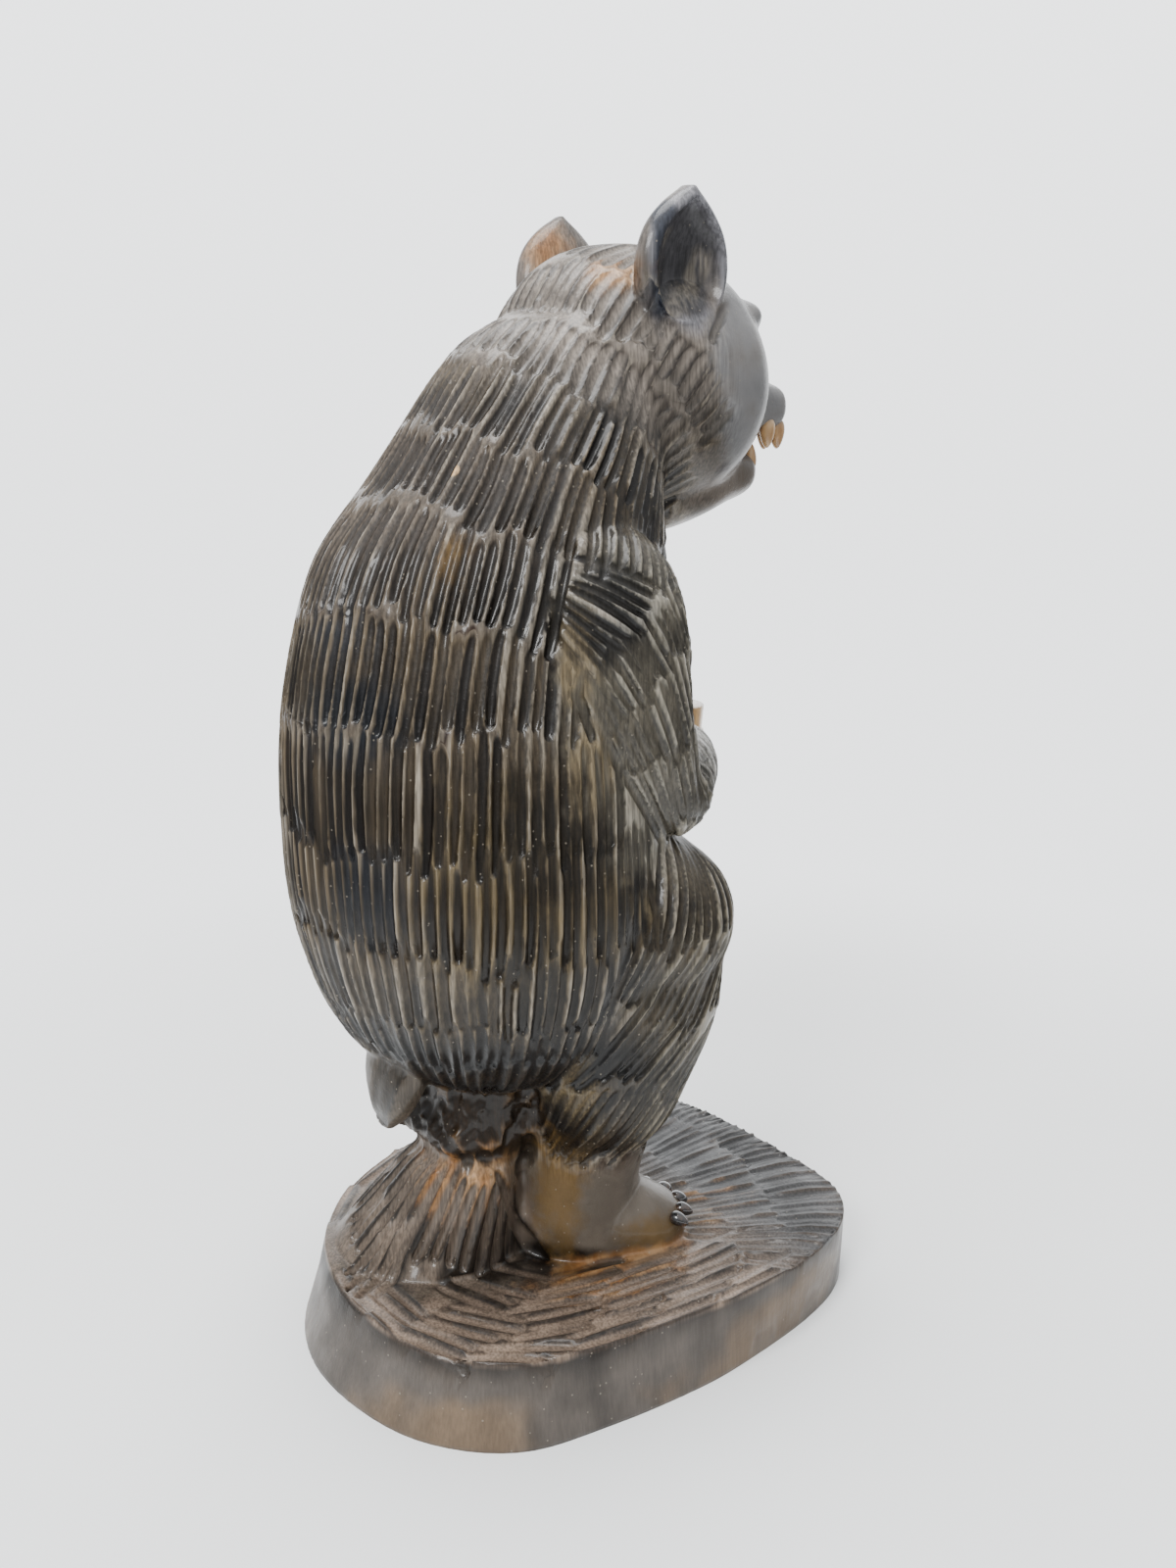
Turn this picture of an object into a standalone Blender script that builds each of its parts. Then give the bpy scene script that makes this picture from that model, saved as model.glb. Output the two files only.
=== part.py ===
# A carved wooden bear that stands upright on its plinth and holds a small honey tub.
# The bear, the tub, the mound behind its feet and the plinth are one block of wood.
# Metres, +Z up. The bear faces -Y and its own right hand is at -X.

import math
import random
from collections import namedtuple

import bmesh
import bpy
import numpy as np
from mathutils import Vector
from mathutils.bvhtree import BVHTree
from mathutils.kdtree import KDTree

# Plinth
PLINTH_LENGTH = 0.146
PLINTH_WIDTH = 0.130
PLINTH_THICK = 0.022
PLINTH_SPLAY = 0.0052
PLINTH_CROWN = 0.0010

# The plinth's back wall splays, so its top and the figure stand this far off the underside's centre
TOP_SHIFT_Y = -0.0015

# Figure, from the plinth's top to the ear tips
FIGURE_HEIGHT = 0.276

# Honey tub
TUB_TOP_RADIUS = 0.0115
TUB_BOTTOM_RADIUS = 0.0135
TUB_HEIGHT = 0.031

# Ears
EAR_HEIGHT = 0.034
EAR_WIDTH = 0.029
EAR_THICK = 0.013
EAR_WALL = 0.0030

# The ear's edge keeps this share of its thickness; its cup is this thick and stands this far out
EAR_EDGE_SHARE = 0.35
CUP_THICK_SHARE = 0.62
CUP_OUT_SHARE = 0.42

# Teeth and claws
TOOTH_LENGTH = 0.0080
TOOTH_WIDTH = 0.0052
CLAW_LENGTH = 0.0054
CLAW_WIDTH = 0.0046

# Gouge strokes that show from a step away
FUR_WIDTH = 0.0072
FUR_DEPTH = 0.0020
LIMB_WIDTH = 0.0064
MOUND_DEPTH = 0.0018
PLINTH_CUT_LENGTH = 0.024
PLINTH_CUT_WIDTH = 0.0075
PLINTH_CUT_DEPTH = 0.0013
LUMP_CUT_LENGTH = 0.015
LUMP_CUT_WIDTH = 0.009
LUMP_CUT_DEPTH = 0.0026
LUMP_CUT_LEAN = 0.9
LUMP_CUTS = 46

# Strokes lie this share of their width apart; their lengths and places vary by shares of the row
STROKE_PITCH = 0.86
STROKE_SHARES = (1.0, 1.14)
STROKE_SHIFT = 0.1

# A stroke is this much shallower at its ends, and cuts only skin that faces its way
STROKE_END_RISE = 0.35
STROKE_FACING = 0.25
COURSE_PITCH = 0.85
COURSE_OVERLAP = 0.93
COURSE_END = 0.15
COURSE_LEAN = 0.12

# The pose is drawn on a grid of 276 units between the plinth's top and the ear tips
GRID_UNITS = 276
UNIT = FIGURE_HEIGHT / GRID_UNITS

# Skin this close to the ground, as a share of the plinth's thickness, is set on the ground
GROUND_SHARE = 0.04

# Fineness of the work
RING_SIDES = 32
LOFT_STEPS = 5
PATH_STEPS = 12
RING_LOOKS = 240
FORM_VOXEL = FIGURE_HEIGHT / 170
CARVE_VOXEL = FIGURE_HEIGHT / 225
BLEND_ROUNDS = 7
FINISH_ROUNDS = 1
TRIANGLES = 9400
SEED = 7

WOOD_COLOUR = (0.11, 0.075, 0.05, 1)
WOOD_ROUGHNESS = 0.42

X_AXIS = Vector((1, 0, 0))
Y_AXIS = Vector((0, 1, 0))
Z_AXIS = Vector((0, 0, 1))
BOTH = (False, True)

# Stations: centre x, y, z, half width, half depth, all in grid units above the plinth's top.
# The torso's sections are level, the head's and the muzzle's stand upright.
TORSO = (
    (0, 27, 49, 10, 9),
    (0, 27, 52, 23, 19),
    (0, 27, 60, 37, 31),
    (0, 27, 71, 46, 39),
    (0, 27, 87, 52, 45),
    (0, 27, 104, 54, 48.5),
    (0, 27, 120, 53, 49.5),
    (0, 26, 143, 50, 50.5),
    (0, 23, 166, 46, 50),
    (0, 20, 188, 42.5, 45.5),
    (0, 13.5, 206, 38.5, 37.5),
    (0, 6.5, 220, 33.5, 34.5),
    (0, -1, 232, 29, 33.5),
    (0, -9, 243, 25, 30),
    (0, -15, 251, 14, 15),
)
HEAD = (
    (0, 14, 226, 8, 9),
    (0, 9, 228, 22, 24),
    (0, -1, 230, 29, 32),
    (0, -15, 231, 32, 35),
    (0, -29, 232, 33, 34.5),
    (0, -41, 232, 32, 31.5),
    (0, -50, 231, 27, 24),
    (0, -56, 230, 18, 15),
    (0, -59, 229, 7, 7),
)
MUZZLE = (
    (0, -44, 228, 15, 9),
    (0, -54, 228, 16, 8.5),
    (0, -64, 227.5, 15.5, 7.5),
    (0, -70, 227.5, 14.5, 6.5),
    (0, -72.5, 227.5, 11, 4),
)
NOSE_BRIDGE = (
    (0, -44, 249, 10, 9),
    (0, -54, 244, 10, 9),
    (0, -62, 237, 10, 8),
    (0, -68, 232, 9, 5),
)
JAW = (
    (0, -20, 205, 17, 13),
    (0, -31, 205.5, 17.5, 12.5),
    (0, -43, 206.5, 16.5, 10),
    (0, -52, 208, 14.5, 8),
    (0, -61, 209.5, 12, 6.5),
    (0, -65, 210.5, 7, 3.5),
)
UPPER_ARM = (
    (-24, 16, 190, 10, 12),
    (-32, 15.5, 184, 15, 20),
    (-37, 13.5, 172, 15.5, 22.5),
    (-40, 11.5, 158, 14.5, 20.5),
    (-42, 7.5, 145, 12.5, 16.5),
    (-42, 2, 134, 11, 13),
    (-42, -2, 126, 9.5, 9.5),
    (-42, -4, 120, 6, 6),
)
FOREARM = (
    (-43, 1, 127, 7, 7),
    (-41, -5, 128, 9, 10),
    (-34, -14, 131, 9.5, 9.5),
    (-26, -22, 132.5, 9.5, 9.5),
    (-18, -28, 133.5, 9, 9),
    (-12, -31, 134, 6, 7),
)
THIGH = (
    (-24, 30, 90, 16, 20),
    (-27, 18, 93, 23, 26),
    (-31, 4, 96, 23, 26.5),
    (-35, -6, 93, 20.5, 23.5),
    (-36, -15, 87, 16, 17.5),
    (-37, -21, 82, 8, 9),
)
SHIN = (
    (-35, -5, 90, 17, 21),
    (-34, 0, 76, 17.5, 26),
    (-31, 3, 62, 17.5, 25.5),
    (-27, 4, 47, 17, 21.5),
    (-22, 5, 36, 15, 18),
    (-19, 6, 22, 14, 16.5),
    (-18, 6, 8, 14, 16.5),
    (-18, 5, -6, 13, 15),
)
FOOT = (
    (-8, 20, 2, 7, 8),
    (-11, 16, 3, 12, 13),
    (-15, 8, 4, 15, 16),
    (-20, -2, 4, 15.5, 13.5),
    (-24, -10, 2, 14.5, 11.5),
    (-26, -16, 1, 12, 9),
    (-27, -20, 0, 7, 6),
)
TAIL = (
    (-3, 45, 78, 11, 8),
    (-3, 50, 68, 12, 7.5),
    (-2, 54, 58, 12, 6.5),
    (-1, 55.5, 50, 9, 5),
    (1, 56, 42, 3, 2.5),
)
LUMP = (
    (0, 27, 62, 18, 15),
    (0, 27, 54, 20, 16),
    (1, 28, 44, 21, 17),
    (2, 30, 36, 21.5, 18.5),
    (1, 28, 30, 17, 14),
    (0, 27, 25, 13, 11),
)
MOUND = (
    (-3, 33, 34, 9, 7),
    (-3, 33, 31, 14, 11),
    (-1, 34, 26, 17.5, 14.5),
    (4, 35, 16, 22, 18.5),
    (9, 36, 5, 26, 24),
    (12, 37.5, -4, 29.5, 29.5),
)

# Sections with more than two are squarer than an ellipse
MUZZLE_SQUARE = 3.2
JAW_SQUARE = 2.6
LUMP_SQUARE = 2.8

BROW_CENTRE = (14, -48, 249)
BROW_HALF = (10, 7, 5)
EYE_CENTRE = (13, -56, 242)
EYE_SIZE = 3.2
SOCKET_LENGTH = 13
SOCKET_WIDTH = 9
SOCKET_DEPTH = 2.6
SOCKET_LEAN = 0.35
SKULL_MIDDLE_Y = -30
NOSE_CENTRE = (0, -72, 231)
NOSE_HALF = (7.5, 4, 4.5)
RIGHT_EAR = (-27, -18.5, 258.5)
LEFT_EAR = (26.5, -21.5, 261)
EAR_TURN = math.radians(2)
EAR_LEAN = math.radians(6)
TUB_CENTRE = (0, -35, 129)

# The ear's outline from its root to its tip: share of the height, then share of the half width
EAR_OUTLINE = (
    (0.00, 0.42), (0.10, 0.74), (0.28, 0.97), (0.50, 1.00), (0.70, 0.85), (0.87, 0.50), (1.00, 0.06),
)

# The gap of the mouth: its width, then y and the heights of its lower and upper edge
MOUTH_WIDTH = 35
MOUTH_FRONT = (-80, 213, 221.5)
MOUTH_BACK = (-46, 215, 217)

# Teeth: x, y, z of the root, then the way they point
TEETH = (
    (-13, -57, 222, -1), (13, -57, 222, -1), (-13, -64, 222, -1), (13, -64, 222, -1), (-11, -70, 222, -1),
    (11, -70, 222, -1), (-4, -72, 222, -1), (4, -72, 222, -1), (-9, -61, 212, 1), (9, -61, 212, 1),
)

# A peg's shape from its root to its tip: share of the length, then share of the radius
PEG_OUTLINE = ((-0.3, 0.7), (0.0, 1.0), (0.5, 0.95), (0.85, 0.6), (1.0, 0.15))

# Claws stand on a bow round the front of each foot
CLAW_COUNT = 5
CLAW_BOW_CENTRE = (-25, -10, 7)
CLAW_BOW_HALF = (12, 10)
CLAW_FIRST = math.radians(-76)
CLAW_STEP = math.radians(29)
CLAW_DIP = 0.25

# The plinth's outline from above: shares of its half width and half length, then how much of the
# splay its wall has there
PLINTH_OUTLINE = (
    (-0.12, 0.97, 1.5), (-0.52, 0.91, 1.1), (-0.80, 0.70, 0.9), (-0.91, 0.40, 0.6), (-0.97, 0.06, 0.4),
    (-1.00, -0.17, 0.0), (-0.98, -0.53, -0.3), (-0.88, -0.80, -0.2), (-0.68, -0.97, 0.0), (-0.34, -1.03, 0.0),
    (0.15, -1.04, 0.0), (0.55, -0.98, 0.0), (0.83, -0.81, 0.2), (0.97, -0.52, 0.3), (1.00, -0.16, 0.3),
    (0.94, 0.21, 0.4), (0.77, 0.57, 0.7), (0.50, 0.81, 1.0), (0.21, 0.93, 1.5),
)

# The plinth's levels: share of the thickness, share of the splay, share of the outline
PLINTH_LEVELS = (
    (0.0, 1.0, 1.0), (0.5, 0.4, 1.0), (1 - PLINTH_CROWN / PLINTH_THICK, 0.0, 1.0), (1.0, 0.0, 0.9),
    (1.0, 0.0, 0.75), (1.0, 0.0, 0.6), (1.0, 0.0, 0.45), (1.0, 0.0, 0.3), (1.0, 0.0, 0.15),
)

# Lines that the rows of strokes follow, each from its lower end, and how far along it the rows end
SPINE = (
    (0, 27, 52), (0, 27, 104), (0, 25, 150), (0, 17, 184), (0, 5, 208), (0, -12, 230), (0, -34, 252),
)
FUR_EDGES = (2, 24, 46, 70, 94, 114, 135, 152, 168, 184, 200, 216)
LEG_LINE = (
    (-20, 8, 26), (-22, 7, 36), (-26, 5, 50), (-30, 0, 66), (-32, -5, 84), (-33, -9, 100), (-32, -10, 118),
)
LEG_EDGES = (0, 18, 37, 59, 80, 95)
ARM_LINE = (
    (-42, -4, 122), (-42, 1, 136), (-41, 8, 152), (-39, 18, 170), (-38, 30, 182), (-38, 42, 190),
)
ARM_EDGES = (0, 22, 41, 54, 70, 84)
FOREARM_LINE = ((-41, -4, 128), (-26, -22, 132), (-14, -31, 134))
FOREARM_EDGES = (0, 17, 34)
HILL_LINE = ((13, 40, -2), (-2, 33, 32))
HILL_EDGES = (0, 17, 36)
FACE_EDGE = -31
ANKLE = 30
NAPE_DROOP = 0.2
LEG_TURN = math.radians(16)

Stroke = namedtuple("Stroke", "point normal along half_length half_width depth")


def clear_scene():
    """Remove everything that the scene started with."""
    for thing in list(bpy.data.objects):
        bpy.data.objects.remove(thing, do_unlink=True)


def collection(name):
    """A new collection of the scene."""
    group = bpy.data.collections.new(name)
    bpy.context.scene.collection.children.link(group)
    return group


def place(x, y, z):
    """A grid position above the plinth's top, in metres."""
    return Vector((x * UNIT, y * UNIT + TOP_SHIFT_Y, PLINTH_THICK + z * UNIT))


def smooth_through(rows, steps):
    """Values on a smooth curve through rows of numbers."""
    rows = np.array(rows, float)
    padded = np.vstack([2 * rows[0] - rows[1], rows, 2 * rows[-1] - rows[-2]])
    found = []
    for index in range(len(rows) - 1):
        before, start, end, after = padded[index:index + 4]
        for step in range(steps):
            t = step / steps
            linear = (end - before) * t
            square = (2 * before - 5 * start + 4 * end - after) * t ** 2
            cube = (3 * start - before - 3 * end + after) * t ** 3
            found.append(start + 0.5 * (linear + square + cube))
    found.append(rows[-1])
    return np.array(found)


def ring_points(centre, side, up, half_side, half_up, squareness=2.0):
    """Points round an ellipse, or round a squarer section when squareness is above 2."""
    points = []
    for index in range(RING_SIDES):
        angle = 2 * math.pi * index / RING_SIDES
        across = math.copysign(abs(math.cos(angle)) ** (2 / squareness), math.cos(angle))
        along = math.copysign(abs(math.sin(angle)) ** (2 / squareness), math.sin(angle))
        points.append(centre + side * half_side * across + up * half_up * along)
    return points


def skin(rings):
    """A closed mesh over a row of rings with as many points each."""
    body = bmesh.new()
    loops = []
    for ring in rings:
        loops.append([body.verts.new(point) for point in ring])
    for lower, upper in zip(loops, loops[1:]):
        for index in range(len(lower)):
            after = (index + 1) % len(lower)
            body.faces.new((lower[index], lower[after], upper[after], upper[index]))
    body.faces.new(list(reversed(loops[0])))
    body.faces.new(loops[-1])
    bmesh.ops.recalc_face_normals(body, faces=body.faces)
    return body


def loft(stations, side_axis, facing=None, squareness=2.0, mirrored=False):
    """A limb or body through its stations; facing sets every section's plane."""
    rows = smooth_through(stations, LOFT_STEPS)
    flip = -1 if mirrored else 1
    centres = [place(row[0] * flip, row[1], row[2]) for row in rows]
    last = len(centres) - 1
    rings = []
    for index, row in enumerate(rows):
        forward = facing or (centres[min(index + 1, last)] - centres[max(index - 1, 0)]).normalized()
        side = (side_axis - forward * side_axis.dot(forward)).normalized()
        up = forward.cross(side)
        half_side = max(row[3], 1) * UNIT
        half_up = max(row[4], 1) * UNIT
        rings.append(ring_points(centres[index], side, up, half_side, half_up, squareness))
    return skin(rings)


def ball(centre, half):
    """An ellipsoid from its centre and half sizes in grid units."""
    body = bmesh.new()
    bmesh.ops.create_uvsphere(body, u_segments=RING_SIDES, v_segments=RING_SIDES // 2, radius=UNIT)
    for vertex in body.verts:
        stretched = Vector((vertex.co.x * half[0], vertex.co.y * half[1], vertex.co.z * half[2]))
        vertex.co = place(*centre) + stretched
    return body


def body_forms():
    """The big forms that flow into one another, each with its name."""
    forms = [
        ("torso", loft(TORSO, X_AXIS, facing=Z_AXIS)),
        ("head", loft(HEAD, X_AXIS, facing=Y_AXIS)),
        ("face", loft(MUZZLE, X_AXIS, facing=Y_AXIS, squareness=MUZZLE_SQUARE)),
        ("face", loft(JAW, X_AXIS, facing=Y_AXIS, squareness=JAW_SQUARE)),
        ("face", loft(NOSE_BRIDGE, X_AXIS, facing=Y_AXIS)),
        ("lump", loft(LUMP, X_AXIS, facing=Z_AXIS, squareness=LUMP_SQUARE)),
        ("mound", loft(MOUND, X_AXIS, facing=Z_AXIS)),
    ]
    for mirrored in BOTH:
        side = "left" if mirrored else "right"
        brow_x = BROW_CENTRE[0] if mirrored else -BROW_CENTRE[0]
        forms.append(("face", ball((brow_x, BROW_CENTRE[1], BROW_CENTRE[2]), BROW_HALF)))
        forms.append((side + " arm", loft(UPPER_ARM, X_AXIS, mirrored=mirrored)))
        forms.append((side + " forearm", loft(FOREARM, Z_AXIS, mirrored=mirrored)))
        forms.append((side + " leg", loft(THIGH, X_AXIS, mirrored=mirrored)))
        forms.append((side + " leg", loft(SHIN, X_AXIS, mirrored=mirrored)))
        forms.append((side + " foot", loft(FOOT, X_AXIS, mirrored=mirrored)))
    return forms


def mesh_object(name, body, group):
    """A bmesh as an object of the group."""
    mesh = bpy.data.meshes.new(name)
    body.to_mesh(mesh)
    body.free()
    made = bpy.data.objects.new(name, mesh)
    group.objects.link(made)
    return made


def settle(thing):
    """Turn an object's modifiers into its mesh."""
    bpy.context.view_layer.update()
    graph = bpy.context.evaluated_depsgraph_get()
    mesh = bpy.data.meshes.new_from_object(thing.evaluated_get(graph))
    old = thing.data
    thing.modifiers.clear()
    thing.data = mesh
    bpy.data.meshes.remove(old)


def fuse(name, forms, group, voxel, rounds):
    """One closed skin round all the forms, with soft joins."""
    whole = bmesh.new()
    for _, body in forms:
        mesh = bpy.data.meshes.new("form")
        body.to_mesh(mesh)
        whole.from_mesh(mesh)
        bpy.data.meshes.remove(mesh)
    made = mesh_object(name, whole, group)
    remesh = made.modifiers.new("skin", "REMESH")
    remesh.mode = "VOXEL"
    remesh.voxel_size = voxel
    soften = made.modifiers.new("soften", "SMOOTH")
    soften.factor = 0.5
    soften.iterations = rounds
    settle(made)
    return made


def cut(thing, cutter):
    """Cut one object out of another."""
    gap = thing.modifiers.new("cut", "BOOLEAN")
    gap.operation = "DIFFERENCE"
    gap.solver = "EXACT"
    gap.object = cutter
    settle(thing)
    cutter.hide_render = True


def ear_leaf(half_thick, half_wide, height):
    """A leaf that stands on its stem, with a pointed top."""
    rings = []
    for share, width in smooth_through(EAR_OUTLINE, LOFT_STEPS):
        centre = Z_AXIS * (share - 0.5) * height
        thick = half_thick * (EAR_EDGE_SHARE + (1 - EAR_EDGE_SHARE) * width)
        rings.append(ring_points(centre, X_AXIS, Y_AXIS, thick, half_wide * width))
    return skin(rings)


def ear(mirrored, group):
    """A hollow ear whose cup looks outward and a little forward."""
    shell = mesh_object("ear shell", ear_leaf(EAR_THICK / 2, EAR_WIDTH / 2, EAR_HEIGHT), group)
    cup = ear_leaf(EAR_THICK * CUP_THICK_SHARE, EAR_WIDTH / 2 - EAR_WALL, EAR_HEIGHT - 2 * EAR_WALL)
    bmesh.ops.translate(cup, verts=cup.verts, vec=X_AXIS * EAR_THICK * CUP_OUT_SHARE)
    cut(shell, mesh_object("ear cup", cup, group))
    body = bmesh.new()
    body.from_mesh(shell.data)
    bpy.data.objects.remove(shell, do_unlink=True)
    side = 1 if mirrored else -1
    centre = place(*(LEFT_EAR if mirrored else RIGHT_EAR))
    lean_cos, lean_sin = math.cos(EAR_LEAN), math.sin(EAR_LEAN)
    turn_cos, turn_sin = math.cos(EAR_TURN), math.sin(EAR_TURN)
    for vertex in body.verts:
        x, y, z = vertex.co
        x, z = x * lean_cos + z * lean_sin, z * lean_cos - x * lean_sin
        x, y = x * turn_cos + y * turn_sin, y * turn_cos - x * turn_sin
        vertex.co = centre + Vector((x * side, y, z))
    if not mirrored:
        bmesh.ops.reverse_faces(body, faces=body.faces)
    return body


def peg(root, tip, radius):
    """A rounded peg for a tooth or a claw."""
    forward = (tip - root).normalized()
    side = forward.orthogonal().normalized()
    up = forward.cross(side)
    rings = []
    for share, width in PEG_OUTLINE:
        rings.append(ring_points(root.lerp(tip, share), side, up, radius * width, radius * width))
    return skin(rings)


def teeth():
    """The teeth that stand in the muzzle and in the lower jaw."""
    found = []
    for x, y, z, way in TEETH:
        root = place(x, y, z)
        found.append(peg(root, root + Z_AXIS * way * TOOTH_LENGTH, TOOTH_WIDTH / 2))
    return found


def foot_claws(mirrored):
    """A bow of claws round the front of a foot."""
    side = -1 if mirrored else 1
    found = []
    for index in range(CLAW_COUNT):
        angle = CLAW_FIRST + CLAW_STEP * index
        x = CLAW_BOW_CENTRE[0] + CLAW_BOW_HALF[0] * math.sin(angle)
        y = CLAW_BOW_CENTRE[1] - CLAW_BOW_HALF[1] * math.cos(angle)
        root = place(side * x, y, CLAW_BOW_CENTRE[2])
        out = Vector((side * math.sin(angle), -math.cos(angle), -CLAW_DIP)).normalized()
        found.append(peg(root, root + out * CLAW_LENGTH, CLAW_WIDTH / 2))
    return found


def eye(mirrored):
    """One round eye."""
    x, y, z = EYE_CENTRE
    return ball((x if mirrored else -x, y, z), (EYE_SIZE, EYE_SIZE, EYE_SIZE))


def tub():
    """A honey tub that narrows upward."""
    centre = place(*TUB_CENTRE)
    rings = []
    for share, radius in ((-0.5, TUB_BOTTOM_RADIUS), (0.5, TUB_TOP_RADIUS)):
        rings.append(ring_points(centre + Z_AXIS * share * TUB_HEIGHT, X_AXIS, Y_AXIS, radius, radius))
    return skin(rings)


def plinth_outline(splay=0.0):
    """The closed outline of the plinth's top, or of a level below it where the walls have splayed."""
    count = len(PLINTH_OUTLINE)
    rows = smooth_through(PLINTH_OUTLINE[-1:] + PLINTH_OUTLINE + PLINTH_OUTLINE[:2], LOFT_STEPS)
    outline = []
    for x, y, share in rows[LOFT_STEPS:(count + 1) * LOFT_STEPS]:
        rim = Vector((x * PLINTH_WIDTH / 2, y * PLINTH_LENGTH / 2, 0))
        outline.append(rim + rim.normalized() * splay * share)
    return outline


def plinth():
    """The plinth, its walls a little slanted and its top a little domed."""
    rings = []
    for rise, splay, share in PLINTH_LEVELS:
        centre = Vector((0, TOP_SHIFT_Y, PLINTH_THICK * rise))
        rings.append([point * share + centre for point in plinth_outline(splay * PLINTH_SPLAY)])
    return skin(rings)


def mouth_wedge(group):
    """The gap between the muzzle and the lower jaw."""
    wedge = bmesh.new()
    bmesh.ops.create_cube(wedge, size=1.0)
    for vertex in wedge.verts:
        y, low, high = MOUTH_FRONT if vertex.co.y < 0 else MOUTH_BACK
        vertex.co = place(MOUTH_WIDTH * vertex.co.x, y, high if vertex.co.z > 0 else low)
    return mesh_object("mouth gap", wedge, group)


def search_tree(points):
    """A tree that finds the points near a place."""
    tree = KDTree(len(points))
    for index, point in enumerate(points):
        tree.insert(point, index)
    tree.balance()
    return tree


def owners(forms):
    """A search tree of every form's points, and the form that each point belongs to."""
    points = []
    names = []
    for name, body in forms:
        for vertex in body.verts:
            points.append(vertex.co.copy())
            names.append(name)
    return search_tree(points), names


class Surface:
    """The uncarved form, with a way to find its skin and the form a place belongs to."""

    def __init__(self, thing, tree, names):
        graph = bpy.context.evaluated_depsgraph_get()
        self.tree = BVHTree.FromObject(thing, graph)
        self.owner_tree = tree
        self.names = names

    def outward(self, origin, direction):
        """Where a line from inside leaves the wood."""
        point, normal, _, _ = self.tree.ray_cast(origin, direction)
        if point is None or normal.dot(direction) <= 0:
            return None, None, None
        _, index, _ = self.owner_tree.find(point)
        return point, normal, self.names[index]


def make_stroke(point, normal, along, length, width, depth):
    """A stroke laid flat on the skin, or nothing where it would stand on end."""
    flat = along - normal * along.dot(normal)
    if flat.length < UNIT ** 2:
        return None
    return Stroke(point, normal, flat.normalized(), length / 2, width / 2, depth)


def eye_sockets(surface):
    """A hollow under each brow that runs down toward the nose."""
    made = []
    for side in (-1, 1):
        inside = place(0, SKULL_MIDDLE_Y, EYE_CENTRE[2])
        toward = (place(side * EYE_CENTRE[0], EYE_CENTRE[1], EYE_CENTRE[2]) - inside).normalized()
        point, normal, _ = surface.outward(inside, toward)
        if point is not None:
            way = Vector((side, 0, SOCKET_LEAN))
            made.append(make_stroke(point, normal, way, SOCKET_LENGTH * UNIT, SOCKET_WIDTH * UNIT,
                                    SOCKET_DEPTH * UNIT))
    return [item for item in made if item]


def measured(path):
    """A smooth line through the path's points, and its length up to each of them."""
    line = [place(*point) for point in smooth_through(path, PATH_STEPS)]
    lengths = [0.0]
    for start, end in zip(line, line[1:]):
        lengths.append(lengths[-1] + (end - start).length)
    return line, lengths


def along_line(line, lengths, wanted):
    """The place and direction at a length along a line."""
    for index in range(len(line) - 1):
        if lengths[index + 1] >= wanted:
            share = (wanted - lengths[index]) / (lengths[index + 1] - lengths[index])
            return line[index].lerp(line[index + 1], share), (line[index + 1] - line[index]).normalized()
    return line[-1], (line[-1] - line[-2]).normalized()


def ring_walk(surface, centre, forward, pitch, dice):
    """Directions round a line whose places on the skin lie a stroke's pitch apart."""
    side = forward.orthogonal().normalized()
    up = forward.cross(side)
    walked = 0.0
    wanted = pitch * dice.random()
    last = None
    for index in range(RING_LOOKS):
        angle = 2 * math.pi * index / RING_LOOKS
        out = side * math.cos(angle) + up * math.sin(angle)
        point, _, _ = surface.outward(centre, out)
        if point is not None and last is not None:
            walked += (point - last).length
        last = point
        if walked >= wanted:
            walked = 0.0
            wanted = pitch
            yield out


def rows_round(surface, path, edges, wanted, width, depth, dice, turn=0.0, droop=0.0, keep=None):
    """Gouge strokes in rows round a path, each cut against the path's direction.

    A row lies between two edges, which are lengths along the path. The strokes turn by an angle from
    the path, and droop pulls them downward.
    """
    line, lengths = measured(path)
    made = []
    for low, high in zip(edges, edges[1:]):
        step = (high - low) * UNIT
        centre, forward = along_line(line, lengths, (low + high) / 2 * UNIT)
        for out in ring_walk(surface, centre, forward, width * STROKE_PITCH, dice):
            shift = dice.uniform(-STROKE_SHIFT, STROKE_SHIFT) * step
            ends = []
            for height in (low, (low + high) / 2, high):
                inside, _ = along_line(line, lengths, min(max(height * UNIT + shift, 0), lengths[-1]))
                ends.append(surface.outward(inside, out))
            point, normal, name = ends[1]
            if name not in wanted or (keep and not keep(point)):
                continue
            run = (ends[0][0] or point) - (ends[2][0] or point)
            way = run.normalized() if run.length > step / 2 else -forward
            way = way * math.cos(turn) + out.cross(forward) * math.sin(turn) - Z_AXIS * droop
            long = max(run.length, step) * dice.uniform(*STROKE_SHARES)
            made.append(make_stroke(point, normal, way, long, width, depth))
    return [item for item in made if item]


def flipped(path):
    """The path of the other side."""
    return tuple((-x, y, z) for x, y, z in path)


def behind_face(point):
    """True on the part of the head that bears strokes."""
    return point.y > FACE_EDGE * UNIT


def above_ankle(point):
    """True on the part of the leg that bears strokes."""
    return point.z > PLINTH_THICK + ANKLE * UNIT


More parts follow.
